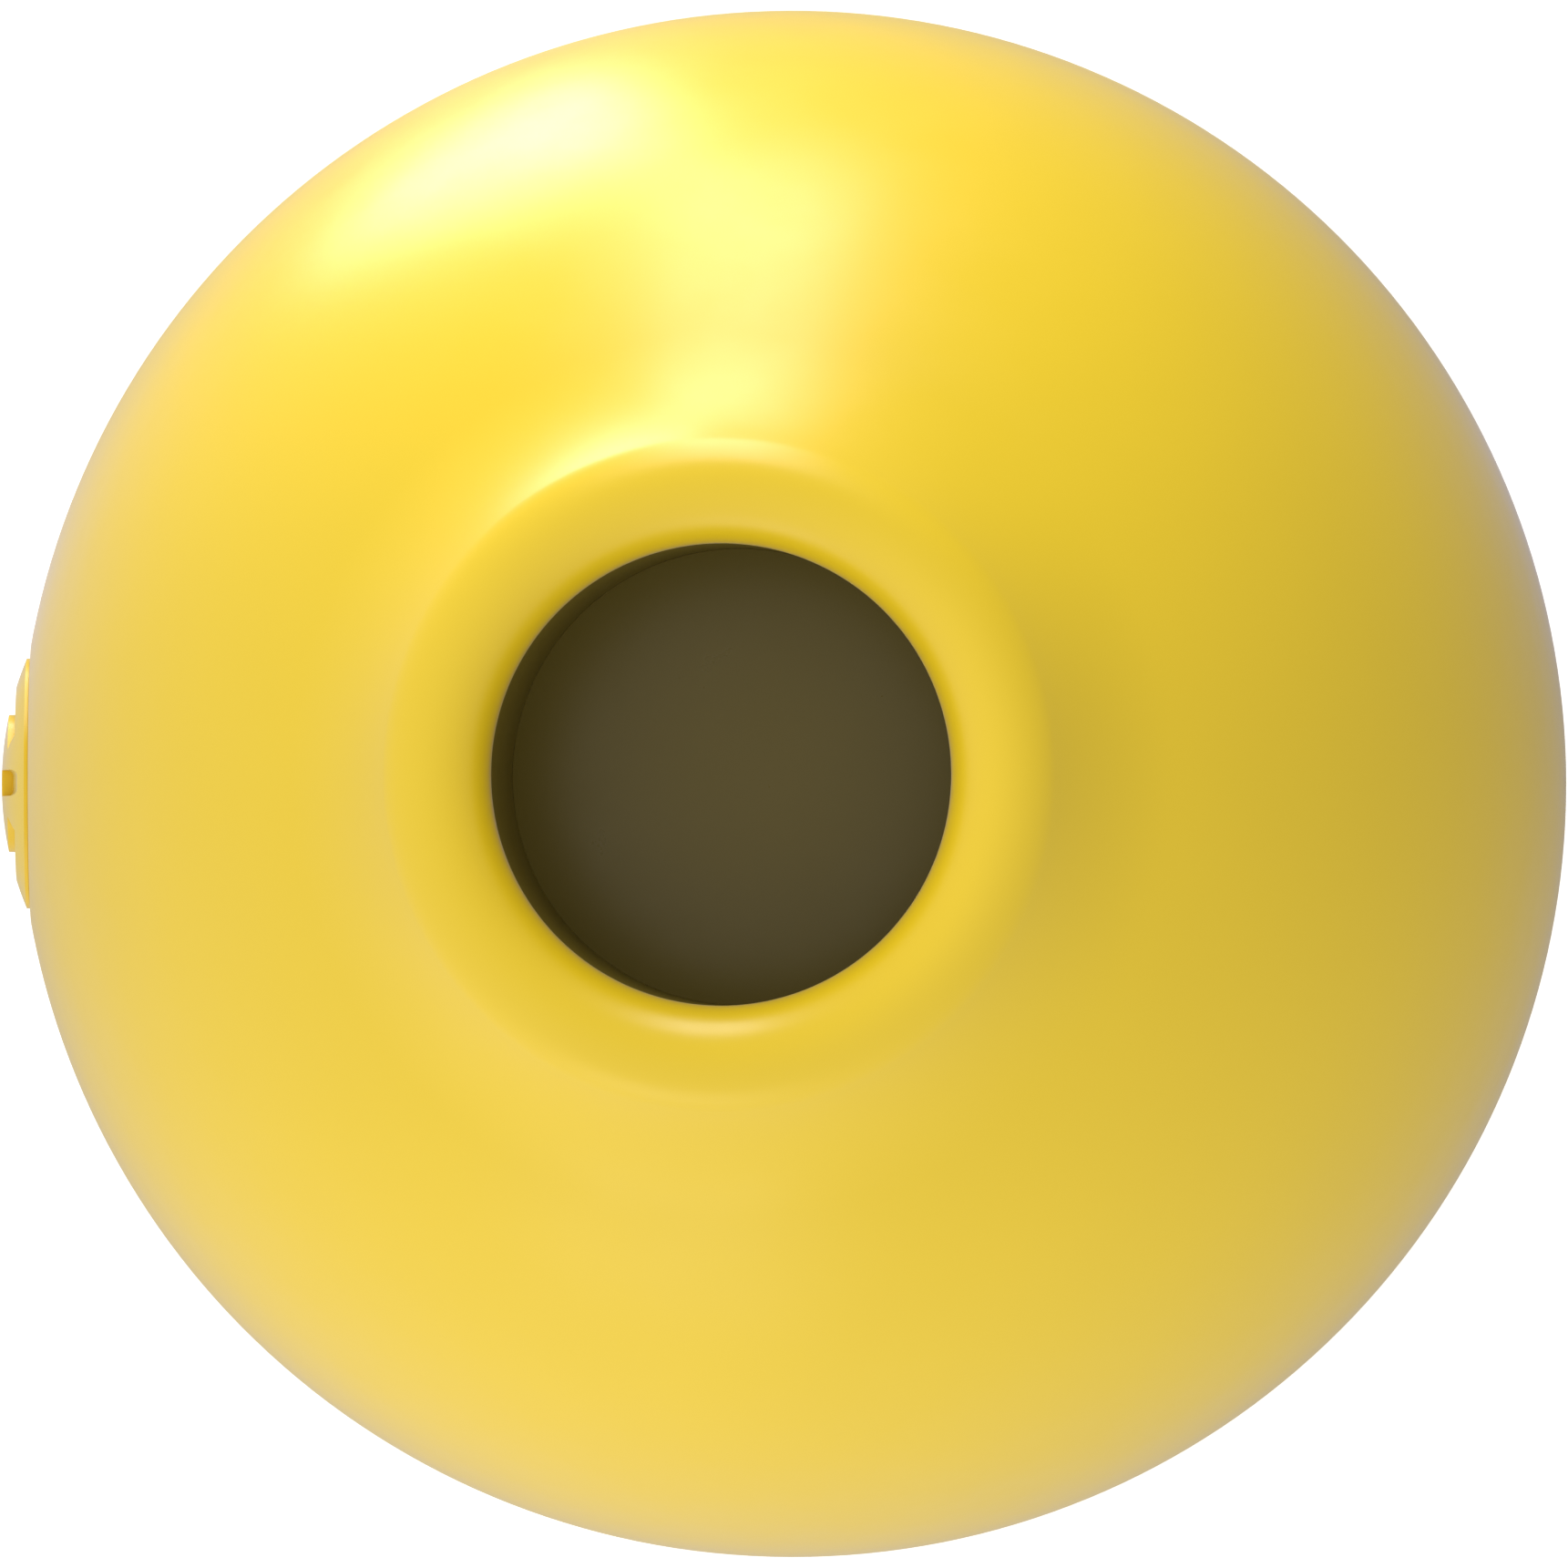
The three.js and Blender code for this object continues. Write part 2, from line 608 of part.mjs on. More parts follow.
// Lower cap: a plug with the transducer pocket, the sensor, charging pins and power button.
function addLowerCap() {
  const profile = [
    point(0, CAP_FACE_Z),
    point(CANISTER_R, CAP_FACE_Z),
    point(CANISTER_R, CAP_SEAT_Z),
    point(PLUG_R, CAP_SEAT_Z),
    point(PLUG_R, CAP_SEAL_Z - 1),
    point(CAP_GROOVE_R, CAP_SEAL_Z - 1),
    point(CAP_GROOVE_R, CAP_SEAL_Z + 1),
    point(PLUG_R, CAP_SEAL_Z + 1),
    point(PLUG_R, CAP_PLUG_TOP),
    point(CAP_CUP_R, CAP_PLUG_TOP),
    point(CAP_CUP_FLOOR_R, CAP_FLOOR_TOP),
    point(0, CAP_FLOOR_TOP),
  ];
  const notches = THIRDS.map((angle) =>
    sector(NOTCH_R, CANISTER_R + 2.8, NOTCH_LOW, NOTCH_HIGH, NOTCH_SPAN).rotateZ(angle + TURN / 6));
  const pocket = (radius, low, high, angle) => inCap(disc(radius + CLEARANCE, low, high, SMALL), angle);
  const cutters = [
    disc(TRANSDUCER_R + 2 * CLEARANCE, 0, TRANSDUCER_HIGH + FIT),
    pocket(SENSOR_R, 0, SENSOR_TOP + CLEARANCE, SENSOR_ANGLE),
    ...CONTACT_ANGLES.map((angle) => pocket(CONTACT_R, 0, CONTACT_TOP + CLEARANCE, angle)),
    pocket(BUTTON_R, 0, CAP_FLOOR_TOP + 2 * OVERRUN, BUTTON_ANGLE),
    pocket(BUTTON_FLANGE_R, BUTTON_FLANGE_LOW - FIT, CAP_PLUG_TOP + 3 * OVERRUN, BUTTON_ANGLE),
    ...notches,
  ];
  add("lower_cap", cut(turned(profile, SMOOTH), cutters), materials.graphite);
  add("sonar_transducer", disc(TRANSDUCER_R, TRANSDUCER_LOW, TRANSDUCER_HIGH), materials.ceramic);
  add("foot_pad", disc(PAD_R, 0, TRANSDUCER_LOW - FIT), materials.rubber);
  addCapFittings();
}

function addCapFittings() {
  const sensor = [
    point(0, SENSOR_FACE + SENSOR_PORT_DEPTH),
    point(SENSOR_PORT_R, SENSOR_FACE + SENSOR_PORT_DEPTH),
    point(SENSOR_PORT_R, SENSOR_FACE),
    point(SENSOR_R, SENSOR_FACE),
    point(SENSOR_R, SENSOR_TOP),
    point(0, SENSOR_TOP),
  ];
  const button = [
    point(0, BUTTON_FACE),
    point(BUTTON_R - 0.5, BUTTON_FACE),
    point(BUTTON_R, BUTTON_FACE + 0.5),
    point(BUTTON_R, BUTTON_FLANGE_LOW),
    point(BUTTON_FLANGE_R, BUTTON_FLANGE_LOW),
    point(BUTTON_FLANGE_R, BUTTON_TOP),
    point(0, BUTTON_TOP),
  ];
  const coil = spring(2.8, 0.4, BUTTON_TOP + FIT, SWITCH_LOW - FIT, 3);
  add("pressure_sensor", inCap(turned(sensor, SMALL), SENSOR_ANGLE), materials.steel);
  CONTACT_ANGLES.forEach((angle, i) => {
    const contact = inCap(disc(CONTACT_R, CONTACT_FACE, CONTACT_TOP, SMALL), angle);
    add("charge_contact_" + (i + 1), contact, materials.gold);
  });
  add("power_button", inCap(turned(button, SMALL), BUTTON_ANGLE), materials.rubber);
  add("button_spring", inCap(coil, BUTTON_ANGLE), materials.steel);
  const powerSwitch = inCap(disc(SWITCH_R, SWITCH_LOW, SWITCH_HIGH, SMALL), BUTTON_ANGLE);
  add("power_switch", powerSwitch, materials.graphite);
}

// Battery sled: two round plates on a spine, three cells and their contacts between them.
function addBatteries() {
  const plateLow = SLED_LOW + SLED_PLATE;
  const plateHigh = SLED_HIGH - SLED_PLATE;
  const cellHigh = CELL_LOW + CELL_LENGTH;
  const sled = [
    point(0, SLED_LOW),
    point(SLED_R, SLED_LOW),
    point(SLED_R, plateLow),
    point(SLED_SPINE_R, plateLow),
    point(SLED_SPINE_R, plateHigh),
    point(SLED_R, plateHigh),
    point(SLED_R, SLED_HIGH),
    point(0, SLED_HIGH),
  ];
  const cell = [
    point(0, CELL_LOW),
    point(CELL_R - CELL_CHAMFER, CELL_LOW),
    point(CELL_R, CELL_LOW + 0.5),
    point(CELL_R, cellHigh - CELL_NUB - CELL_CHAMFER),
    point(CELL_NUB_R, cellHigh - CELL_NUB),
    point(CELL_NUB_R, cellHigh),
    point(0, cellHigh),
  ];
  add("battery_sled", turned(sled, MEDIUM), materials.graphite);
  THIRDS.forEach((angle, i) => {
    const contact = spring(CELL_NUB_R, 0.4, plateLow + FIT, CELL_LOW - FIT, 2);
    add("battery_cell_" + (i + 1), around(turned(cell, SMALL), CELL_CIRCLE, angle), materials.cell);
    add("battery_spring_" + (i + 1), around(contact, CELL_CIRCLE, angle), materials.steel);
  });
}

// Main board: stands on edge between two card rails, with its chips on the front face.
function addMainBoard() {
  const height = BOARD_HIGH - BOARD_LOW;
  const middle = (BOARD_LOW + BOARD_HIGH) / 2;
  const railMiddle = middle + 1;
  add("main_board", block(BOARD_WIDTH, BOARD_THICK, height, 0, 0, middle), materials.board);
  SIDES.forEach((side, i) => {
    const grooveX = side * (RAIL_X - RAIL_GROOVE / 2);
    const rail = block(RAIL_WIDTH, RAIL_DEPTH, height + 6, side * RAIL_X, 0, railMiddle);
    const groove = block(RAIL_GROOVE, BOARD_THICK + 2 * FIT, height + 8, grooveX, 0, railMiddle);
    add("board_rail_" + (i + 1), cut(rail, [groove]), materials.graphite);
  });
  const chips = [
    ["processor", 16, 1.6, 16, 0, middle + 6],
    ["radio_module", 18, 2.4, 12, -8, BOARD_HIGH - 16],
    ["satellite_receiver", 12, 2.2, 12, 14, BOARD_HIGH - 16],
    ["power_coil", 9, 4.5, 9, -12, BOARD_LOW + 14],
  ];
  chips.forEach(([name, width, thick, tall, x, z]) => {
    const y = -(BOARD_THICK / 2 + FIT + thick / 2);
    add(name, block(width, thick, tall, x, y, z), materials.graphite);
  });
}

// Display: a frame under the window holds the panel, above the aerial and its round board.
function addDisplay() {
  const pocketSide = DISPLAY_SIDE + 1;
  const viewSide = DISPLAY_SIDE - 4;
  const frameLow = DISPLAY_TOP - DISPLAY_FRAME_HEIGHT;
  const pocketMiddle = DISPLAY_TOP - DISPLAY_POCKET + 2;
  const panelMiddle = DISPLAY_TOP - DISPLAY_POCKET + FIT + DISPLAY_THICK / 2;
  const frame = cut(ring(DISPLAY_FRAME_BORE, PLUG_R, frameLow, DISPLAY_TOP), [
    block(pocketSide, pocketSide, 4, 0, 0, pocketMiddle),
    block(viewSide, viewSide, 3 * DISPLAY_FRAME_HEIGHT, 0, 0, frameLow),
  ]);
  const panel = block(DISPLAY_SIDE, DISPLAY_SIDE, DISPLAY_THICK, 0, 0, panelMiddle);
  const patchMiddle = AERIAL_TOP + FIT + PATCH_THICK / 2;
  add("display_frame", frame, materials.graphite);
  add("display_panel", panel, materials.window);
  add("aerial_board", disc(AERIAL_R, AERIAL_TOP - BOARD_THICK, AERIAL_TOP), materials.board);
  add("aerial_patch", block(PATCH_SIDE, PATCH_SIDE, PATCH_THICK, 0, 0, patchMiddle), materials.ceramic);
}

// Valve: everything below stands on the valve's own axis, outwards being up.
function addValve() {
  const group = new THREE.Group();
  group.position.copy(valve.origin);
  group.rotation.y = valve.turn;
  computer.add(group);
  addValveBody(group);
  addPoppet(group);
  addValveCap(group);
}

function addValveBody(group) {
  const profile = [
    point(CAP_BORE_R, FLANGE_FACE),
    point(CAP_BORE_R, CAP_BORE_LOW),
    point(AIR_BORE_R, CAP_BORE_LOW),
    point(AIR_BORE_R, POPPET_SEAT),
    point(POPPET_ROOM_R, POPPET_SEAT),
    point(POPPET_ROOM_R, TAIL_LOW),
    point(TAIL_R, TAIL_LOW),
    point(TAIL_R, BARREL_LOW),
    point(BARREL_R, BARREL_LOW),
    point(BARREL_R, FLANGE_LOW),
    point(FLANGE_R, FLANGE_LOW),
    point(FLANGE_R, FLANGE_FACE),
    point(CAP_SEAL_ROOM_OUTER, FLANGE_FACE),
    point(CAP_SEAL_ROOM_OUTER, CAP_SEAL_ROOM_LOW),
    point(CAP_SEAL_ROOM_INNER, CAP_SEAL_ROOM_LOW),
    point(CAP_SEAL_ROOM_INNER, FLANGE_FACE),
    point(CAP_BORE_R, FLANGE_FACE),
  ];
  const gasket = ring(GASKET_INNER, GASKET_OUTER, GASKET_LOW, GASKET_TOP);
  const hexagon = new THREE.Shape(arc(0, 0, NUT_R, NUT_R, 0, TURN, 6).slice(0, 6));
  hexagon.holes.push(new THREE.Path().absarc(0, 0, NUT_BORE, 0, TURN, true));
  const options = { depth: NUT_THICK, bevelEnabled: false, curveSegments: SMALL };
  const nut = new THREE.ExtrudeGeometry(hexagon, options).translate(0, 0, NUT_LOW);
  add("valve_body", turned(profile, MEDIUM), materials.olive, group);
  add("valve_gasket", gasket, materials.rubber, group);
  add("valve_nut", nut, materials.graphite, group);
}

// Poppet: opens inwards against its spring, which stands on the cage at the body's inner end.
function addPoppet(group) {
  const headTop = POPPET_SEAT - FIT;
  const headLow = headTop - POPPET_THICK;
  const profile = [
    point(0, STEM_LOW),
    point(STEM_R, STEM_LOW),
    point(STEM_R, headLow),
    point(POPPET_R, headLow),
    point(POPPET_R, headTop),
    point(STEM_TOP_R, headTop),
    point(STEM_TOP_R, STEM_TOP),
    point(0, STEM_TOP),
  ];
  const coil = spring(4.2, 0.45, CAGE_TOP + FIT, headLow - FIT, 4);
  add("valve_poppet", turned(profile, SMALL), materials.graphite, group);
  add("poppet_spring", coil, materials.steel, group);
  add("poppet_cage", ring(CAGE_INNER, CAGE_OUTER, CAGE_LOW, CAGE_TOP, SMALL), materials.olive, group);
}

// Cap: a shallow dome with two finger pockets and two tool slots, on a plug that screws into the body.
function addValveCap(group) {
  const rise = VALVE_DOME_TOP - VALVE_RIM_TOP;
  const domeR = (VALVE_CAP_R ** 2 + rise ** 2) / (2 * rise);
  const edge = Math.acos(VALVE_CAP_R / domeR);
  const profile = [
    point(0, CAP_PLUG_LOW),
    point(CAP_PLUG_TIP_R, CAP_PLUG_LOW),
    point(CAP_PLUG_R, CAP_PLUG_LOW + CAP_PLUG_CHAMFER),
    point(CAP_PLUG_R, FIT),
    point(VALVE_CAP_R, FIT),
    ...arc(0, VALVE_DOME_TOP - domeR, domeR, domeR, edge, TURN / 4, 5).slice(0, -1),
    point(0, VALVE_DOME_TOP),
  ];
  const pocket = (side) => {
    const space = sector(GRIP_R, VALVE_CAP_R + 2, POCKET_FLOOR, VALVE_DOME_TOP + OVERRUN, POCKET_SPAN);
    return space.rotateZ((side * TURN) / 4);
  };
  const slots = [0, TURN / 2].map((angle) => toolSlot().rotateZ(angle));
  const seal = ring(CAP_SEAL_INNER, CAP_SEAL_OUTER, CAP_SEAL_LOW, 0, SMOOTH / 2);
  const cap = cut(turned(profile, MEDIUM), [...SIDES.map(pocket), ...slots]);
  add("cap_seal", seal, materials.rubber, group);
  add("valve_cap", cap, materials.yellow, group);
}

// A slot with rounded floor corners, whose floor falls outwards from near the centre to the rim.
function toolSlot() {
  const half = SLOT_WIDTH / 2;
  const top = 3;
  const shape = new THREE.Shape();
  shape.moveTo(-half, top);
  shape.lineTo(-half, SLOT_CORNER);
  shape.quadraticCurveTo(-half, 0, 0, 0);
  shape.quadraticCurveTo(half, 0, half, SLOT_CORNER);
  shape.lineTo(half, top);
  const options = { depth: VALVE_CAP_R + 2 - SLOT_START, bevelEnabled: false, curveSegments: 4 };
  return new THREE.ExtrudeGeometry(shape, options)
    .rotateX(TURN / 4)
    .rotateZ(TURN / 4)
    .rotateY(SLOT_FALL)
    .translate(SLOT_START, 0, SLOT_FLOOR);
}

addFloat();
addSleeve();
addBase();
addLockRing();
addCanister();
addBatteries();
addMainBoard();
addDisplay();
addValve();

export default computer;
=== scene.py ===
"""A floating dive computer: yellow ball float with a rolled neck, dark well, air valve and base."""
import json
import math

import bpy
from mathutils import Matrix, Vector


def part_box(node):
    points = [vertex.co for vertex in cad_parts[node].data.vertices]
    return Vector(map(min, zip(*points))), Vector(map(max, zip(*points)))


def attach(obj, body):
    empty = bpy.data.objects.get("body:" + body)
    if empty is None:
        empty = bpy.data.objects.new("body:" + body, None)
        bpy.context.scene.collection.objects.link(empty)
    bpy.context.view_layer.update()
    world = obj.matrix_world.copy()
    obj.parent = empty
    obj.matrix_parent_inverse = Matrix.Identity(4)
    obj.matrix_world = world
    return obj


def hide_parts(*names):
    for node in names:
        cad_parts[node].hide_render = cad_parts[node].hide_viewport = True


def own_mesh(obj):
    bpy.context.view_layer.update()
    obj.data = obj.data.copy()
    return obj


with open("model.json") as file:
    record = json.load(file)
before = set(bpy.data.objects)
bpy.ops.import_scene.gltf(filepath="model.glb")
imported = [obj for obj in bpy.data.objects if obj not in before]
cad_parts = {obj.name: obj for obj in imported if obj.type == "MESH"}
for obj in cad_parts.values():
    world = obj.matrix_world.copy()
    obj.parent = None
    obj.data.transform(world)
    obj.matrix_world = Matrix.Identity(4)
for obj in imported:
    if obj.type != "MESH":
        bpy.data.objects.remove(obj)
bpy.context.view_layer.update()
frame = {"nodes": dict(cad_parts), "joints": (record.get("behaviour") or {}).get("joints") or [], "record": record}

# ---------------------------------------------------------------- sizes, in millimetres
MM = 0.001
FIT = 0.3  # gap between neighbouring pieces
OVERRUN = 1  # how far a cutter runs past the face that it opens

# Float.
FLOAT_LOW, FLOAT_HIGH = (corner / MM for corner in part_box("float_shell"))
FLOAT_R = FLOAT_HIGH.y  # radius at its equator
FLAT_Z = FLOAT_LOW.z  # flat underside that carries the base ring
LIP_CREST_Z = FLOAT_HIGH.z
CREST_RISE = 160.4  # from the equator to the lip's crest
EQUATOR_Z = LIP_CREST_Z - CREST_RISE
UPPER_RISE = 1.145 * FLOAT_R  # semi-axis of the float above the equator
WALL = 4
FLOOR_THICK = 6
NECK_JOIN = math.radians(56.8)  # where the body turns into the neck
NECK_ROOT_R = 56  # inner wall of the neck
LIP_CIRCLE_R = 49.5
LIP_R = 9.8
LIP_TANGENT = math.radians(31)  # where the neck meets the rolled lip
LIP_LAND = 1  # straight stretch of the throat under the lip
THROAT_R = LIP_CIRCLE_R - LIP_R

# Well and window.
SLEEVE_R = 43.2
SLEEVE_BORE_R = 43.5
SLEEVE_FLANGE_R = 50
SLEEVE_LOW, SLEEVE_HIGH = (corner.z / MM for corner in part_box("throat_sleeve"))
WELL_R = 39.75  # bore of the sleeve
WINDOW_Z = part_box("window_lens")[1].z / MM  # outer face of the window
WINDOW_THICK = 5
WINDOW_PLUG = 2.8  # depth of the window's plug in the tube
WINDOW_GAP = 0.02  # between the window and the sleeve
CANISTER_PLUG_R = 35.8  # both plugs that close the canister's tube

# Valve. Heights are in its own frame: 0 is the flat cut on the float, and outwards is up.
SPOT_R = 34
SPOT_CLEARANCE = 12
VALVE_PAD_R = 25  # thicker patch of wall behind the valve
VALVE_PAD_LOW = -10
VALVE_PAD_TOP = -0.5
COUNTERBORE_R = 19.3
FLANGE_SEAT = -3  # bottom of the counterbore
PORT_R = 13.4
PORT_LOW = -12
FLANGE_R = 18.9
FLANGE_LOW = -1.6
FLANGE_FACE = -0.4
BARREL_R = 13
BARREL_LOW = -16
CAP_BORE_R = 6.6
CAP_BORE_LOW = -12
AIR_BORE_R = 3.4
POPPET_SEAT = -14
POPPET_ROOM_R = 7.5
TAIL_R = 10.5
TAIL_LOW = -25
SEAL_GROOVE_INNER = 7.6
SEAL_GROOVE_OUTER = 11.9
SEAL_GROOVE_FLOOR = -1.4
CAP_SEAL_INNER = 8
CAP_SEAL_OUTER = 11.5
CAP_SEAL_LOW = -1.1
GASKET_INNER = 13.8
GASKET_OUTER = 18.8
GASKET_LOW = -2.7
GASKET_TOP = -1.9
POPPET_R = 6.2
POPPET_LOW = -16.3
POPPET_TOP = -14.3
STEM_R = 1.5
STEM_TOP = -9.6
GUIDE_R = 1.2  # the stem's lower end, inside its spring
GUIDE_LOW = -27
POPPET_COIL_R = 4.2
POPPET_COIL_WIRE = 0.45
POPPET_COIL_LOW = -23.2
POPPET_COIL_HIGH = -16.6
POPPET_COIL_TURNS = 4

# Valve cap, in the same frame.
CAP_R = 22.6
CAP_UNDERSIDE = 0.12
CAP_EDGE = 0.15  # chamfer round the underside
DOME_TOP = 5.44
RIM_TOP = 0.9
GRIP_R = 12.4
POCKET_FLOOR = 2.7
POCKET_SPAN = math.radians(122)
SLOT_WIDTH = 4.7
SLOT_CORNER = 1.1
SLOT_START = 3.2  # where the slot begins, from the axis
SLOT_FLOOR = 3.3
SLOT_FALL = 0.07  # how the slot's floor falls outwards, in radians
SLOT_DEPTH = 3
POCKET_OVERRUN = 2
PLUG_R = 6.2
PLUG_TIP = -8.3
PLUG_TIP_R = 5.4
PLUG_LOW = -7.5
PLUG_STEP = 0.1  # between the rings that carry the thread
THREAD_PITCH = 2.5
THREAD_DEPTH = 0.7
THREAD_LOW = -7.2
THREAD_HIGH = -1.2

# Base ring, screws and feet.
BASE_R = 56
BASE_INNER_R = 45
BASE_LOW = 0.8
BASE_TOP = 13.7
BASE_CHAMFER = 1.5
RING_LEDGE_Z = 2.7  # the lock ring turns above this ledge
RING_ROOM_R = 47
FLANGE_ROOM_R = 50.4
FLANGE_ROOM_Z = 11
SCREW_CIRCLE = 53.2
SCREW_R = 1.5
SCREW_TIP = 18
SCREW_HOLE_R = 1.9
SCREW_HEAD_R = 2.6
SCREW_HEAD_LOW = 1.4
SCREW_HEAD_HIGH = 3.6
HEAD_POCKET_R = 3.1
HEAD_POCKET_TOP = 4
HEAD_POCKET_SHIFT = 0.4  # towards the axis, which keeps the pocket inside the ring's outer wall
HEX_R = 1.25  # to the socket's corners
HEX_FLOOR = 2.8
FOOT_CIRCLE = 50.8
FOOT_R = 3.5
FOOT_TOP = 1.9
FOOT_POCKET_R = 3.9
FOOT_POCKET_TOP = 2.2

# Bail and its pins.
BAIL_Z = 7.0
BAIL_R = 62.0
ROD_R = 2.5
EYE_R = 4.2
EYE_BORE_R = 2.3
EYE_ROOM = 6  # how far the bore's cutter reaches on each side of the rod's middle
PIN_R = 1.9
PIN_HOLE_R = 2.2
PIN_HOLE_ROOT = 48.5
PIN_ROOT = 49
PIN_HEAD_R = 3.4
PIN_HEAD_THICK = 1.7

# Lock ring.
RING_INNER_R = 39.9
RING_R = 46.6
RING_LOW = 3
RING_HIGH = 10.7
LUG_INNER_R = 36.4
LUG_OUTER_R = 41
LUG_HIGH = 4.7
LUG_SPAN = 0.7  # radians
GRIP_RIB_INNER_R = 40.4
GRIP_RIB_OUTER_R = 44.5
GRIP_RIB_LOW = 1.2
GRIP_RIB_HIGH = 4
GRIP_RIB_SPAN = 0.16  # radians
GRIP_RIB_ANGLE = 0.2  # from the middle of each lug, in radians

# Lower cap, its pad and its fittings.
LOWER_CAP_R = 39.2
LOWER_CAP_FACE = 5
LOWER_CAP_SEAT = 14
LOWER_CAP_TOP = 27
CUP_R = 27
CUP_FLOOR_R = 25
CUP_FLOOR = 18
GROOVE_R = 34.3
GROOVE_LOW = 18.5
GROOVE_HIGH = 20.5
NOTCH_R = 36.1  # bottom of the notches that let the lock ring's lugs pass
NOTCH_OUTER_R = 42
NOTCH_LOW = 4
NOTCH_HIGH = 9.5
NOTCH_SPAN = 0.9  # radians
PAD_POCKET_R = 24.4
PAD_POCKET_TOP = 12
PAD_R = 24
PAD_TOP = 5.3
PAD_GROOVES = 5
PAD_GROOVE_R = 22  # outer edge of the first groove
PAD_GROOVE_STEP = 4
PAD_GROOVE_SIDE = 0.6
FITTING_CIRCLE = 30.6
SENSOR_ANGLE = 0
SENSOR_R = 4.4
SENSOR_FACE = 3.8
SENSOR_TOP = 12
SENSOR_POCKET_R = 4.8
SENSOR_POCKET_TOP = 12.4
SENSOR_PORT_R = 1.2
SENSOR_PORT_TOP = 6
CONTACT_ANGLES = [math.pi - 0.16, math.pi + 0.16]
CONTACT_R = 1.9
CONTACT_FACE = 3.9
CONTACT_TOP = 9
CONTACT_POCKET_R = 2.3
CONTACT_POCKET_TOP = 9.4
BUTTON_ANGLE = math.pi / 2
BUTTON_R = 4
BUTTON_FACE = 3
BUTTON_FACE_R = 3.5  # flat stretch of the face, which is dished at its middle
BUTTON_DISH_R = 2.8
BUTTON_DISH_FLOOR_R = 1.5
BUTTON_DISH_FLOOR = 3.4
BUTTON_DISH_TOP = 3.5
BUTTON_FLANGE_R = 4.5
BUTTON_FLANGE_LOW = 7.7
BUTTON_TOP = 9.2
BUTTON_BORE_R = 4.4
BUTTON_BORE_TOP = 20
BUTTON_ROOM_R = 4.9
BUTTON_ROOM_LOW = 7.4
BUTTON_ROOM_TOP = 30
BUTTON_COIL_R = 2.8
BUTTON_COIL_WIRE = 0.4
BUTTON_COIL_LOW = 9.5
BUTTON_COIL_HIGH = 13.7
BUTTON_COIL_TURNS = 3

# Camera and floor.
FOCAL_LENGTH = 355
FILM_WIDTH = 36
CAMERA_DISTANCE = 20.03 * FLOAT_R
CAMERA_LEAN_X = math.radians(4.79)  # from straight above, towards +X
CAMERA_LEAN_Y = math.radians(0.63)  # and towards -Y
CAMERA_ASIDE = -1.7  # along X, from the float's axis
FLOOR_REACH = 60000

# Facets round the large, middling and small pieces.
ROUND = 256
FINE = 128
SMALL = 64

THIRDS = [i * 2 * math.pi / 3 for i in range(3)]
SCREW_ANGLES = [i * math.pi / 2 + math.pi / 8 for i in range(4)]
FOOT_ANGLES = [angle + math.pi / 4 for angle in SCREW_ANGLES]


def joint(name):
    return next(j for j in frame["joints"] if j["name"] == name)


def valve_frame():
    """The valve's own axes: +Z outwards along the cap's turning axis, from the spot face."""
    outward = Vector(joint("cap_turn")["axis"])
    turn = Matrix.Rotation(math.atan2(outward.x, outward.z), 4, "Y")
    return Matrix.Translation(joint("cap_turn")["pos_m"]) @ turn


VALVE = valve_frame()
OUTWARD = VALVE.to_3x3() @ Vector((0, 0, 1))
ALONG_Y = {side: Matrix.Translation((0, 0, BAIL_Z * MM)) @ Matrix.Rotation(-side * math.pi / 2, 4, "X")
           for side in (1, -1)}


# ---------------------------------------------------------------- mesh making
def arc(r, z, radius, rise, start, end, steps):
    """Points of an elliptical arc about (r, z)."""
    angles = [start + (end - start) * i / steps for i in range(steps + 1)]
    return [(r + radius * math.cos(a), z + rise * math.sin(a)) for a in angles]


def rounded(points, radius=0.4, steps=4, closed=True):
    """A profile with its corners rounded. Corners on the axis and gentle turns stay as they are."""
    made = []
    count = len(points)
    for i, corner in enumerate(points):
        at = Vector(corner[:2])
        size = corner[2] if len(corner) > 2 else radius
        is_end = not closed and i in (0, count - 1)
        before = Vector(points[i - 1][:2]) - at
        after = Vector(points[(i + 1) % count][:2]) - at
        turn = math.pi - before.angle(after, 0)
        if is_end or size <= 0 or at.x < 1e-6 or turn < math.radians(20):
            made.append((at.x, at.y))
            continue
        reach = min(size * math.tan(turn / 2), 0.45 * before.length, 0.45 * after.length)
        first = at + before.normalized() * reach
        last = at + after.normalized() * reach
        for k in range(steps + 1):
            t = k / steps
            p = first * (1 - t) ** 2 + at * 2 * t * (1 - t) + last * t ** 2
            made.append((p.x, p.y))
    return made


def new_object(name, vertices, faces):
    mesh = bpy.data.meshes.new(name)
    mesh.from_pydata([Vector(v) * MM for v in vertices], [], faces)
    piece = bpy.data.objects.new(name, mesh)
    bpy.context.scene.collection.objects.link(piece)
    return piece


def lathe(name, profile, facets=FINE, closed=True, thread=None):
    """A solid of revolution about Z. The profile goes up on its outer side."""
    vertices, rings = [], []
    for r, z in profile:
        if r < 1e-6:
            rings.append([len(vertices)] * facets)
            vertices.append((0, 0, z))
            continue
        rings.append(list(range(len(vertices), len(vertices) + facets)))
        for i in range(facets):
            angle = 2 * math.pi * i / facets
            radius = thread(r, z, angle) if thread else r
            vertices.append((radius * math.cos(angle), radius * math.sin(angle), z))
    if closed:
        rings.append(rings[0])
    faces = []
    for low, high in zip(rings, rings[1:]):
        for i in range(facets):
            j = (i + 1) % facets
            face = list(dict.fromkeys((low[i], low[j], high[j], high[i])))
            if len(face) > 2:
                faces.append(face)
    return new_object(name, vertices, faces)


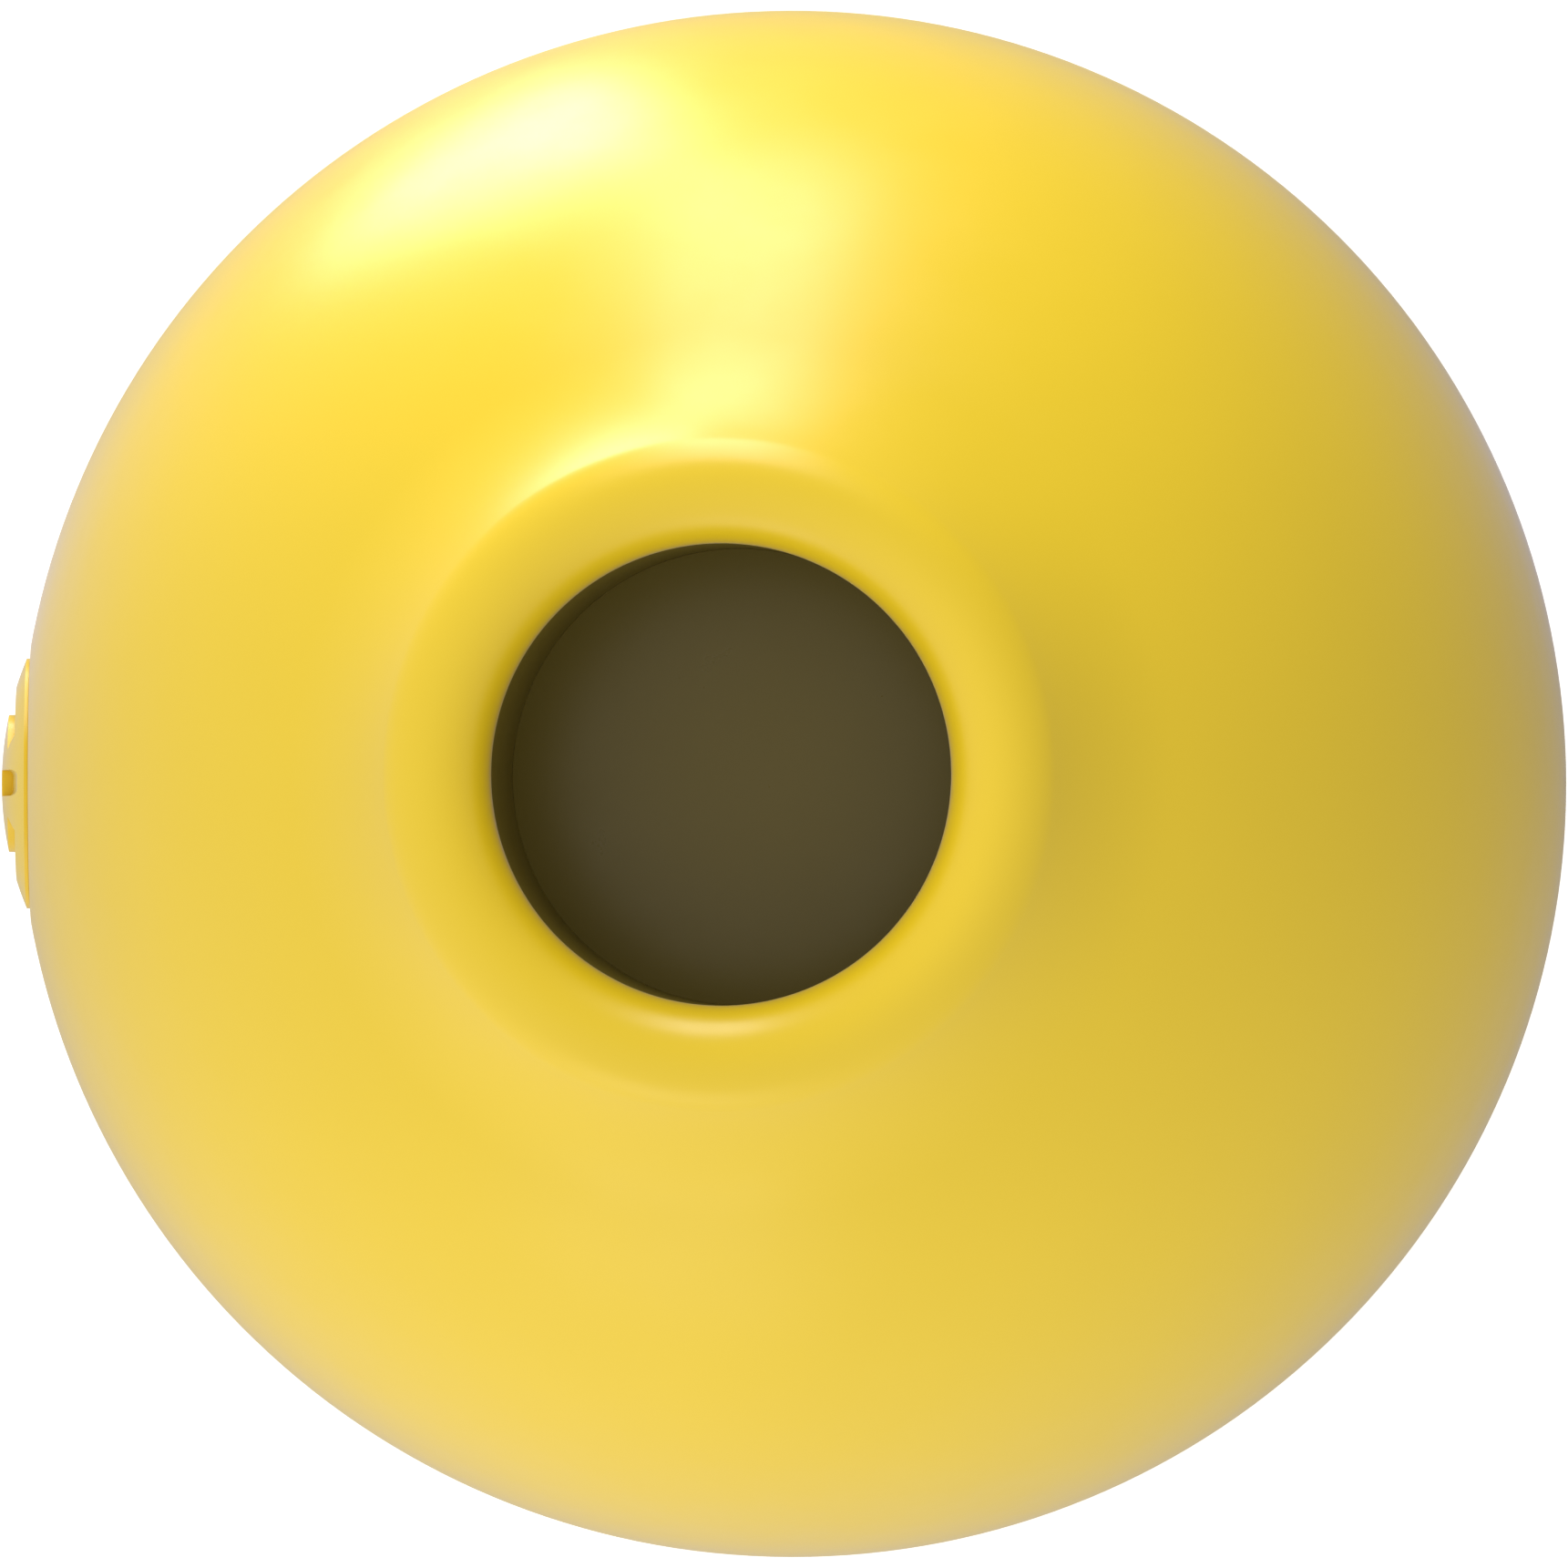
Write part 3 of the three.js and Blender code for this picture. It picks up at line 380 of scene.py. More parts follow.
def solid_lathe(name, profile, facets=FINE, thread=None):
    """A lathe whose profile starts and ends on the axis."""
    return lathe(name, profile, facets, closed=False, thread=thread)


def ring_profile(inner, outer, low, high):
    return [(inner, low), (outer, low), (outer, high), (inner, high)]


def disc_profile(radius, low, high):
    return [(0, low), (radius, low), (radius, high), (0, high)]


def disc(name, radius, low, high, facets=SMALL):
    return solid_lathe(name, disc_profile(radius, low, high), facets)


def extrude(name, outline, low, high):
    """A straight prism on an anticlockwise outline of (x, y) points."""
    count = len(outline)
    vertices = [(x, y, low) for x, y in outline] + [(x, y, high) for x, y in outline]
    sides = [(i, (i + 1) % count, count + (i + 1) % count, count + i) for i in range(count)]
    ends = [tuple(reversed(range(count))), tuple(range(count, 2 * count))]
    return new_object(name, vertices, sides + ends)


def sector(name, inner, outer, low, high, span, steps=32):
    """A sector of a ring, centred on +X."""
    outside = arc(0, 0, outer, outer, -span / 2, span / 2, steps)
    inside = arc(0, 0, inner, inner, span / 2, -span / 2, steps)
    return extrude(name, outside + inside, low, high)


def tube(name, path, radius, sides=24):
    """A round rod along points, with its frame carried along without twist."""
    vertices = []
    across = Vector((0, 0, 1))
    for i, p in enumerate(path):
        ahead = (path[min(i + 1, len(path) - 1)] - path[max(i - 1, 0)]).normalized()
        across = (across - ahead * across.dot(ahead)).normalized()
        other = ahead.cross(across)
        for k in range(sides):
            a = 2 * math.pi * k / sides
            vertices.append(p + (across * math.cos(a) + other * math.sin(a)) * radius)
    faces = [tuple(reversed(range(sides)))]
    for i in range(len(path) - 1):
        for k in range(sides):
            m = (k + 1) % sides
            faces.append((i * sides + k, i * sides + m, (i + 1) * sides + m, (i + 1) * sides + k))
    faces.append(tuple(range((len(path) - 1) * sides, len(path) * sides)))
    return new_object(name, vertices, faces)


def coil(name, radius, wire, low, high, turns):
    """A compression spring on Z. Its first and last stretches lie flat."""
    flat = 0.08
    steps = turns * 32
    path = []
    for i in range(steps + 1):
        t = i / steps
        angle = 2 * math.pi * turns * t
        climb = min(1, max(0, (t - flat) / (1 - 2 * flat)))
        rise = low + wire + (high - low - 2 * wire) * climb
        path.append(Vector((radius * math.cos(angle), radius * math.sin(angle), rise)))
    return tube(name, path, wire, 12)


def placed(piece, matrix):
    """Moves a piece's own vertices, so that its object stays at the origin."""
    piece.data.transform(matrix)
    return piece


def around(piece, distance, angle):
    """Carries a piece out from the axis, then round it."""
    return placed(piece, Matrix.Rotation(angle, 4, "Z") @ Matrix.Translation((distance * MM, 0, 0)))


def applied(piece):
    """Turns a piece's modifiers into its mesh."""
    graph = bpy.context.evaluated_depsgraph_get()
    mesh = bpy.data.meshes.new_from_object(piece.evaluated_get(graph))
    piece.modifiers.clear()
    piece.data = mesh
    return piece


def carve(piece, tools, operation="DIFFERENCE"):
    """Cuts away, or joins, other pieces, which are then deleted."""
    for tool in tools:
        cut = piece.modifiers.new("cut", "BOOLEAN")
        cut.operation = operation
        cut.solver = "EXACT"
        cut.object = tool
    applied(piece)
    for tool in tools:
        bpy.data.objects.remove(tool)
    return piece


def softened(piece, width, segments=3, limit=30):
    """Rounds a piece's sharp edges by a width in millimetres."""
    bevel = piece.modifiers.new("edges", "BEVEL")
    bevel.width = width * MM
    bevel.segments = segments
    bevel.limit_method = "ANGLE"
    bevel.angle_limit = math.radians(limit)
    bevel.use_clamp_overlap = True
    return applied(piece)


def smooth(piece, sharp=30):
    """Smooth shading, broken where faces meet at more than this angle."""
    piece.data.shade_smooth()
    piece.data.set_sharp_from_angle(angle=math.radians(sharp))
    return piece


def flatten(piece, facing):
    """Flat shading on the faces that look straight along a direction."""
    for face in piece.data.polygons:
        if face.normal.angle(facing, 0) < math.radians(0.5):
            face.use_smooth = False


def use(piece, material, body, slot, *nodes, sharp=30):
    """Finishes a piece: its shading and material, the body it rides on and the nodes it stands for."""
    smooth(piece, sharp)
    piece.data.materials.clear()
    piece.data.materials.append(material)
    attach(piece, body)
    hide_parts(*nodes)
    return piece


# ---------------------------------------------------------------- materials
def node_tree(name):
    material = bpy.data.materials.new(name)
    material.use_nodes = True
    tree = material.node_tree
    shader = tree.nodes["Principled BSDF"]
    place = tree.nodes.new("ShaderNodeTexCoord")
    return material, tree, shader, place.outputs["Object"]


def noise(tree, place, scale, detail=3.0, roughness=0.5, stretch=None):
    node = tree.nodes.new("ShaderNodeTexNoise")
    node.inputs["Scale"].default_value = scale
    node.inputs["Detail"].default_value = detail
    node.inputs["Roughness"].default_value = roughness
    if stretch:
        mapping = tree.nodes.new("ShaderNodeMapping")
        mapping.inputs["Scale"].default_value = stretch
        tree.links.new(place, mapping.inputs["Vector"])
        place = mapping.outputs["Vector"]
    tree.links.new(place, node.inputs["Vector"])
    return node.outputs["Fac"]


def ramp(tree, value, stops):
    node = tree.nodes.new("ShaderNodeValToRGB")
    elements = node.color_ramp.elements
    while len(elements) < len(stops):
        elements.new(0.5)
    for element, (at, colour) in zip(elements, stops):
        element.position = at
        element.color = (*colour, 1) if len(colour) == 3 else colour
    tree.links.new(value, node.inputs["Fac"])
    return node.outputs["Color"]


def slope(tree, value, ends, levels):
    """A level that runs straight from one end value to the other, and holds beyond them."""
    node = tree.nodes.new("ShaderNodeMapRange")
    node.inputs["From Min"].default_value, node.inputs["From Max"].default_value = ends
    node.inputs["To Min"].default_value, node.inputs["To Max"].default_value = levels
    tree.links.new(value, node.inputs["Value"])
    return node.outputs["Result"]


def spread(tree, value, low, high):
    """Maps a noise value, which mostly lies between 0.3 and 0.7, onto a range."""
    return slope(tree, value, (0.3, 0.7), (low, high))


def bumps(tree, shader, layers):
    """Chains bump nodes, each from a height, a strength and a depth in millimetres."""
    normal = None
    for height, strength, depth in layers:
        node = tree.nodes.new("ShaderNodeBump")
        node.inputs["Strength"].default_value = strength
        node.inputs["Distance"].default_value = depth * MM
        tree.links.new(height, node.inputs["Height"])
        if normal:
            tree.links.new(normal, node.inputs["Normal"])
        normal = node.outputs["Normal"]
    tree.links.new(normal, shader.inputs["Normal"])


def shade(colour, factor):
    return tuple(min(1.0, c * factor) for c in colour)


SHEEN_TINT = (0.3, 0.4, 1.0, 1)  # the bloom on moulded plastic, seen edge on


def moulded(name, colour, rough, contrast=0.03, grain=900.0, peel=70.0, grain_strength=0.12,
            peel_strength=0.1, ior=1.5, sheen=0.0):
    """Moulded plastic: faint flow clouds, a fine spark-eroded grain and a soft orange peel."""
    material, tree, shader, place = node_tree(name)
    clouds = noise(tree, place, scale=9.0, detail=4.0)
    tint = ramp(tree, clouds, [(0.3, shade(colour, 1 - contrast)), (0.7, shade(colour, 1 + contrast))])
    tree.links.new(tint, shader.inputs["Base Color"])
    wear = noise(tree, place, scale=55.0, detail=6.0, roughness=0.65)
    tree.links.new(spread(tree, wear, rough - 0.035, rough + 0.035), shader.inputs["Roughness"])
    fine = noise(tree, place, grain, detail=2.0)
    waves = noise(tree, place, peel, detail=2.0)
    bumps(tree, shader, [(waves, peel_strength, 0.1), (fine, grain_strength, 0.02)])
    shader.inputs["IOR"].default_value = ior
    shader.inputs["Sheen Weight"].default_value = sheen
    shader.inputs["Sheen Roughness"].default_value = 0.3
    shader.inputs["Sheen Tint"].default_value = SHEEN_TINT
    return material


def rubbery(name, colour, rough=0.75):
    material, tree, shader, place = node_tree(name)
    clouds = noise(tree, place, scale=60.0, detail=5.0, roughness=0.6)
    tint = ramp(tree, clouds, [(0.3, shade(colour, 0.8)), (0.7, shade(colour, 1.35))])
    tree.links.new(tint, shader.inputs["Base Color"])
    tree.links.new(spread(tree, clouds, rough - 0.08, rough + 0.08), shader.inputs["Roughness"])
    fine = noise(tree, place, scale=1400.0)
    bumps(tree, shader, [(fine, 0.25, 0.03)])
    return material


def metallic(name, colour, rough, stretch=(1, 1, 1), grain=600.0):
    """Metal with fine brushing, whose direction comes from the stretch."""
    material, tree, shader, place = node_tree(name)
    lines = noise(tree, place, grain, detail=4.0, roughness=0.6, stretch=stretch)
    tint = ramp(tree, lines, [(0.3, shade(colour, 0.88)), (0.7, shade(colour, 1.06))])
    tree.links.new(tint, shader.inputs["Base Color"])
    tree.links.new(spread(tree, lines, rough - 0.07, rough + 0.09), shader.inputs["Roughness"])
    bumps(tree, shader, [(lines, 0.15, 0.01)])
    shader.inputs["Metallic"].default_value = 1.0
    return material


YELLOW = moulded("yellow_plastic", (0.81, 0.562, 0.009), 0.36, contrast=0.02, ior=1.53, sheen=0.3)
OLIVE = moulded("olive_plastic", (0.146, 0.106, 0.005), 0.5, contrast=0.08, grain_strength=0.2)
WINDOW = moulded("smoked_window", (0.146, 0.107, 0.0095), 0.3, contrast=0.03, grain_strength=0.02,
                 peel_strength=0.03, ior=1.4)
GRAPHITE = moulded("graphite_plastic", (0.022, 0.022, 0.02), 0.5, contrast=0.15, grain_strength=0.3)
RUBBER = rubbery("black_rubber", (0.012, 0.012, 0.012))
STEEL = metallic("stainless_steel", (0.6, 0.6, 0.6), 0.26, stretch=(1, 1, 3), grain=1100.0)
GOLD = metallic("gold_plate", (0.85, 0.6, 0.2), 0.22)
CERAMIC = moulded("fired_ceramic", (0.68, 0.62, 0.48), 0.6, contrast=0.05)
BOARD = moulded("solder_mask", (0.012, 0.07, 0.03), 0.4, contrast=0.2)
PACKAGE = moulded("chip_package", (0.012, 0.012, 0.012), 0.55, contrast=0.2)
WRAP = moulded("cell_wrap", (0.03, 0.12, 0.36), 0.3, contrast=0.05)

SLOT_MATERIALS = {
    "yellow_shell": YELLOW,
    "olive_sleeve": OLIVE,
    "smoked_window": WINDOW,
    "graphite_plastic": GRAPHITE,
    "black_rubber": RUBBER,
    "steel": STEEL,
    "gold_contact": GOLD,
    "ceramic": CERAMIC,
    "circuit_board": BOARD,
    "chip_package": PACKAGE,
    "cell_wrap": WRAP,
}


# ---------------------------------------------------------------- float
def tangent_corner(low, low_slope, high, high_slope):
    """Where two walls that rise inwards at these slopes would meet."""
    across = low[0] - high[0]
    up = high[1] - low[1]
    along = (across * math.sin(high_slope) - up * math.cos(high_slope)) / math.sin(high_slope - low_slope)
    return low[0] - along * math.cos(low_slope), low[1] + along * math.sin(low_slope)


def curve_between(start, corner, end, steps):
    """Inner points of a quadratic curve from start to end."""
    made = []
    for k in range(1, steps):
        t = k / steps
        made.append(tuple(a * (1 - t) ** 2 + b * 2 * t * (1 - t) + c * t ** 2
                          for a, b, c in zip(start, corner, end)))
    return made


def float_profile():
    """Outer wall, neck and rolled lip, then back down the inner wall of the air chamber."""
    inner = FLOAT_R - WALL
    lip_z = LIP_CREST_Z - LIP_R
    floor_z = FLAT_Z + FLOOR_THICK
    bottom = math.asin((FLAT_Z - EQUATOR_Z) / FLOAT_R)
    lower = arc(0, EQUATOR_Z, FLOAT_R, FLOAT_R, bottom, 0, 48)[:-1]
    body = arc(0, EQUATOR_Z, FLOAT_R, UPPER_RISE, 0, NECK_JOIN, 48)
    lip = arc(LIP_CIRCLE_R, lip_z, LIP_R, LIP_R, LIP_TANGENT, math.pi, 48)
    body_slope = math.atan2(UPPER_RISE * math.cos(NECK_JOIN), FLOAT_R * math.sin(NECK_JOIN))
    corner = tangent_corner(body[-1], body_slope, lip[0], math.pi / 2 - LIP_TANGENT)
    neck = curve_between(body[-1], corner, lip[0], 20)
    ceiling = arc(0, EQUATOR_Z, inner, UPPER_RISE - WALL, math.acos(NECK_ROOT_R / inner), 0, 24)
    floor = arc(0, EQUATOR_Z, inner, inner, 0, math.asin((floor_z - EQUATOR_Z) / inner), 24)[1:]
    land_z = lip_z - LIP_LAND
    land = [(THROAT_R, land_z), (SLEEVE_BORE_R, land_z), (SLEEVE_BORE_R, ceiling[0][1])]
    return [(SLEEVE_BORE_R, FLAT_Z), *lower, *body, *neck, *lip, *land, *ceiling, *floor,
            (SLEEVE_BORE_R, floor_z)]


def make_float():
    shell = lathe("float_skin", float_profile(), ROUND)
    pad = placed(disc("pad", VALVE_PAD_R, VALVE_PAD_LOW, VALVE_PAD_TOP, FINE), VALVE)
    carve(shell, [pad], "UNION")
    tools = [
        placed(disc("spot", SPOT_R, 0, SPOT_CLEARANCE, FINE), VALVE),
        placed(disc("counterbore", COUNTERBORE_R, FLANGE_SEAT, OVERRUN, FINE), VALVE),
        placed(disc("port", PORT_R, PORT_LOW, OVERRUN, FINE), VALVE),
    ]
    carve(shell, tools)
    use(shell, YELLOW, "float", "yellow_shell", "float_shell", sharp=7)
    flatten(shell, OUTWARD)


def make_sleeve():
    flange_top = FLAT_Z - FIT
    profile = rounded([
        (WELL_R, SLEEVE_LOW),
        (SLEEVE_FLANGE_R, SLEEVE_LOW),
        (SLEEVE_FLANGE_R, flange_top),
        (SLEEVE_R, flange_top),
        (SLEEVE_R, SLEEVE_HIGH),
        (WELL_R, SLEEVE_HIGH),
    ], 0.3)
    use(lathe("well_sleeve", profile, ROUND), OLIVE, "float", "olive_sleeve", "throat_sleeve")


def make_window():
    seat = WINDOW_Z - WINDOW_THICK
    edge = WELL_R - WINDOW_GAP
    profile = rounded([
        (0, seat - WINDOW_PLUG),
        (CANISTER_PLUG_R, seat - WINDOW_PLUG),
        (CANISTER_PLUG_R, seat),
        (edge, seat),
        (edge, WINDOW_Z, 0.03),
        (0, WINDOW_Z),
    ], 0.3, closed=False)
    use(solid_lathe("window_disc", profile, ROUND), WINDOW, "float", "smoked_window", "window_lens")


# ---------------------------------------------------------------- valve
def cap_thread(radius, height, angle):
    """A screw thread on the plug: the radius rises and falls along a helix."""
    if radius != PLUG_R or not THREAD_LOW <= height <= THREAD_HIGH:
        return radius
    phase = 2 * math.pi * height / THREAD_PITCH - angle
    return radius - THREAD_DEPTH * (1 - math.cos(phase)) / 2


def tool_slot(name):
    """The cutter for one tool slot: rounded floor corners, and a floor that falls outwards."""
    half = SLOT_WIDTH / 2
    corner = SLOT_CORNER
    left = arc(-half + corner, corner, corner, corner, math.pi, 1.5 * math.pi, 8)
    right = arc(half - corner, corner, corner, corner, -math.pi / 2, 0, 8)
    outline = [(-half, SLOT_DEPTH), *left, *right, (half, SLOT_DEPTH)]
    slot = extrude(name, outline, 0, CAP_R + POCKET_OVERRUN - SLOT_START)
    along_x = Matrix.Rotation(math.pi / 2, 4, "Z") @ Matrix.Rotation(math.pi / 2, 4, "X")
    falling = Matrix.Rotation(SLOT_FALL, 4, "Y")
    return placed(slot, Matrix.Translation((SLOT_START * MM, 0, SLOT_FLOOR * MM)) @ falling @ along_x)


def make_valve_cap():
    rise = DOME_TOP - RIM_TOP
    dome_r = (CAP_R ** 2 + rise ** 2) / (2 * rise)
    edge = math.acos(CAP_R / dome_r)
    rings = round(-PLUG_LOW / PLUG_STEP) + 1
    plug = [(PLUG_R, PLUG_LOW + PLUG_STEP * i) for i in range(rings)]
    dome = arc(0, DOME_TOP - dome_r, dome_r, dome_r, edge, math.pi / 2, 64)[:-1]
    profile = [
        (0, PLUG_TIP),
        (PLUG_TIP_R, PLUG_TIP),
        *plug,
        (PLUG_R, CAP_UNDERSIDE),
        (CAP_R - CAP_EDGE, CAP_UNDERSIDE),
        (CAP_R, CAP_UNDERSIDE + CAP_EDGE),
        *dome,
        (0, DOME_TOP),
    ]
    cap = solid_lathe("valve_cap_skin", profile, FINE, cap_thread)
    outer, top = CAP_R + POCKET_OVERRUN, DOME_TOP + OVERRUN
    tools = []
    for turn in (math.pi / 2, -math.pi / 2):
        tools.append(around(sector("pocket", GRIP_R, outer, POCKET_FLOOR, top, POCKET_SPAN), 0, turn))
    for turn in (0, math.pi):
        tools.append(around(tool_slot("slot"), 0, turn))
    carve(cap, tools)
    placed(cap, VALVE)
    use(cap, YELLOW, "valve_cap", "yellow_shell", "valve_cap", sharp=12)


def make_valve_body():
    bores = [
        (CAP_BORE_R, FLANGE_FACE),
        (CAP_BORE_R, CAP_BORE_LOW),
        (AIR_BORE_R, CAP_BORE_LOW),
        (AIR_BORE_R, POPPET_SEAT),
        (POPPET_ROOM_R, POPPET_SEAT),
        (POPPET_ROOM_R, TAIL_LOW),
    ]
    outside = [
        (TAIL_R, TAIL_LOW),
        (TAIL_R, BARREL_LOW),
        (BARREL_R, BARREL_LOW),
        (BARREL_R, FLANGE_LOW),
        (FLANGE_R, FLANGE_LOW),
        (FLANGE_R, FLANGE_FACE),
    ]
    groove = [
        (SEAL_GROOVE_OUTER, FLANGE_FACE),
        (SEAL_GROOVE_OUTER, SEAL_GROOVE_FLOOR),
        (SEAL_GROOVE_INNER, SEAL_GROOVE_FLOOR),
        (SEAL_GROOVE_INNER, FLANGE_FACE),
    ]
    profile = rounded([*bores, *outside, *groove], 0.2)
    use(placed(lathe("valve_housing", profile), VALVE), OLIVE, "float", "olive_sleeve", "valve_body")
    seal = rounded(ring_profile(CAP_SEAL_INNER, CAP_SEAL_OUTER, CAP_SEAL_LOW, 0), 0.45)
    use(placed(lathe("cap_washer", seal), VALVE), RUBBER, "cap_carrier", "black_rubber", "cap_seal")
    gasket = rounded(ring_profile(GASKET_INNER, GASKET_OUTER, GASKET_LOW, GASKET_TOP), 0.3)
    use(placed(lathe("flange_gasket", gasket), VALVE), RUBBER, "float", "black_rubber", "valve_gasket")


def make_poppet():
    profile = rounded([
        (0, GUIDE_LOW),
        (GUIDE_R, GUIDE_LOW),
        (GUIDE_R, POPPET_LOW),
        (POPPET_R, POPPET_LOW),
        (POPPET_R, POPPET_TOP),
        (STEM_R, POPPET_TOP),
        (STEM_R, STEM_TOP),
        (0, STEM_TOP),
    ], 0.3, closed=False)
    poppet = placed(solid_lathe("poppet_stem", profile, SMALL), VALVE)
    use(poppet, GRAPHITE, "valve_poppet", "graphite_plastic", "valve_poppet")
    spring = coil("poppet_coil", POPPET_COIL_R, POPPET_COIL_WIRE, POPPET_COIL_LOW, POPPET_COIL_HIGH,
                  POPPET_COIL_TURNS)
    use(placed(spring, VALVE), STEEL, "float", "steel", "poppet_spring")
    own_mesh(spring)


# ---------------------------------------------------------------- base
def make_base_ring():
    profile = rounded([
        (BASE_INNER_R, BASE_LOW),
        (BASE_R - BASE_CHAMFER, BASE_LOW),
        (BASE_R, BASE_LOW + BASE_CHAMFER),
        (BASE_R, BASE_TOP),
        (FLANGE_ROOM_R, BASE_TOP),
        (FLANGE_ROOM_R, FLANGE_ROOM_Z),
        (RING_ROOM_R, FLANGE_ROOM_Z),
        (RING_ROOM_R, RING_LEDGE_Z),
        (BASE_INNER_R, RING_LEDGE_Z),
    ], 0.5)
    base = lathe("base_skin", profile, ROUND)
    pocket_circle = SCREW_CIRCLE - HEAD_POCKET_SHIFT
    tools = [around(disc("hole", SCREW_HOLE_R, 0, FLAT_Z), SCREW_CIRCLE, a) for a in SCREW_ANGLES]
    tools += [around(disc("head", HEAD_POCKET_R, 0, HEAD_POCKET_TOP), pocket_circle, a) for a in SCREW_ANGLES]
    tools += [around(disc("foot", FOOT_POCKET_R, 0, FOOT_POCKET_TOP), FOOT_CIRCLE, a) for a in FOOT_ANGLES]
    for side in (1, -1):
        tools.append(placed(disc("pin", PIN_HOLE_R, PIN_HOLE_ROOT, BASE_R + OVERRUN), ALONG_Y[side]))
    carve(base, tools)
    use(softened(base, 0.15, 2), GRAPHITE, "float", "graphite_plastic", "base_ring")


def make_screws():
    for i, angle in enumerate(SCREW_ANGLES):
        profile = rounded([
            (0, SCREW_HEAD_LOW),
            (SCREW_HEAD_R, SCREW_HEAD_LOW, 0.5),
            (SCREW_HEAD_R, SCREW_HEAD_HIGH),
            (SCREW_R, SCREW_HEAD_HIGH),
            (SCREW_R, SCREW_TIP),
            (0, SCREW_TIP),
        ], 0.15, closed=False)
        body = solid_lathe("screw_" + str(i + 1), profile, SMALL)
        hexagon = [(HEX_R * math.cos(a), HEX_R * math.sin(a)) for a in (k * math.pi / 3 for k in range(6))]
        carve(body, [extrude("hex", hexagon, 1, HEX_FLOOR)])
        around(body, SCREW_CIRCLE, angle)
        use(body, STEEL, "float", "steel", "base_screw_" + str(i + 1))


def make_feet():
    for i, angle in enumerate(FOOT_ANGLES):
        profile = rounded([(0, 0), (FOOT_R, 0, 0.6), (FOOT_R, FOOT_TOP), (0, FOOT_TOP)], 0.2, closed=False)
        foot = around(solid_lathe("foot_" + str(i + 1), profile, SMALL), FOOT_CIRCLE, angle)
        use(foot, RUBBER, "float", "black_rubber", "rubber_foot_" + str(i + 1))


def make_bail():
    steps = 96
    angles = [math.pi * (0.5 - i / steps) for i in range(steps + 1)]
    path = [Vector((BAIL_R * math.cos(a), BAIL_R * math.sin(a), BAIL_Z)) for a in angles]
    bow = tube("bail_bow", path, ROD_R, 32)
    eye = rounded(disc_profile(EYE_R, BAIL_R - ROD_R, BAIL_R + ROD_R), 0.6, closed=False)
    carve(bow, [placed(solid_lathe("eye", eye, SMALL), ALONG_Y[side]) for side in (1, -1)], "UNION")
    bore = disc_profile(EYE_BORE_R, BAIL_R - EYE_ROOM, BAIL_R + EYE_ROOM)
    carve(bow, [placed(solid_lathe("bore", bore, SMALL), ALONG_Y[side]) for side in (1, -1)])
    use(bow, STEEL, "tether_bail", "steel", "tether_bail")


def make_bail_pins():
    head = BAIL_R + ROD_R + FIT
    profile = rounded([
        (0, PIN_ROOT),
        (PIN_R, PIN_ROOT),
        (PIN_R, head),
        (PIN_HEAD_R, head),
        (PIN_HEAD_R, head + PIN_HEAD_THICK, 0.8),
        (0, head + PIN_HEAD_THICK),
    ], 0.2, closed=False)
    for i, side in enumerate((1, -1)):
        pin = placed(solid_lathe("pin_" + str(i + 1), profile, SMALL), ALONG_Y[side])
        use(pin, STEEL, "float", "steel", "bail_pin_" + str(i + 1))


def make_lock_ring():
    profile = rounded(ring_profile(RING_INNER_R, RING_R, RING_LOW, RING_HIGH), 0.4)
    ring = lathe("lock_ring_skin", profile, ROUND)
    tools = []
    for turn in THIRDS:
        lug = sector("lug", LUG_INNER_R, LUG_OUTER_R, RING_LOW, LUG_HIGH, LUG_SPAN)
        tools.append(around(lug, 0, turn))
        for side in (GRIP_RIB_ANGLE, -GRIP_RIB_ANGLE):
            grip = sector("grip", GRIP_RIB_INNER_R, GRIP_RIB_OUTER_R, GRIP_RIB_LOW, GRIP_RIB_HIGH,
                          GRIP_RIB_SPAN)
            tools.append(around(grip, 0, turn + side))
    carve(ring, tools, "UNION")
    use(softened(ring, 0.25, 2), OLIVE, "lock_ring", "olive_sleeve", "lock_ring")


def fitted(piece, angle):
    """Carries a piece out to the circle of the lower cap's fittings."""
    return around(piece, FITTING_CIRCLE, angle)


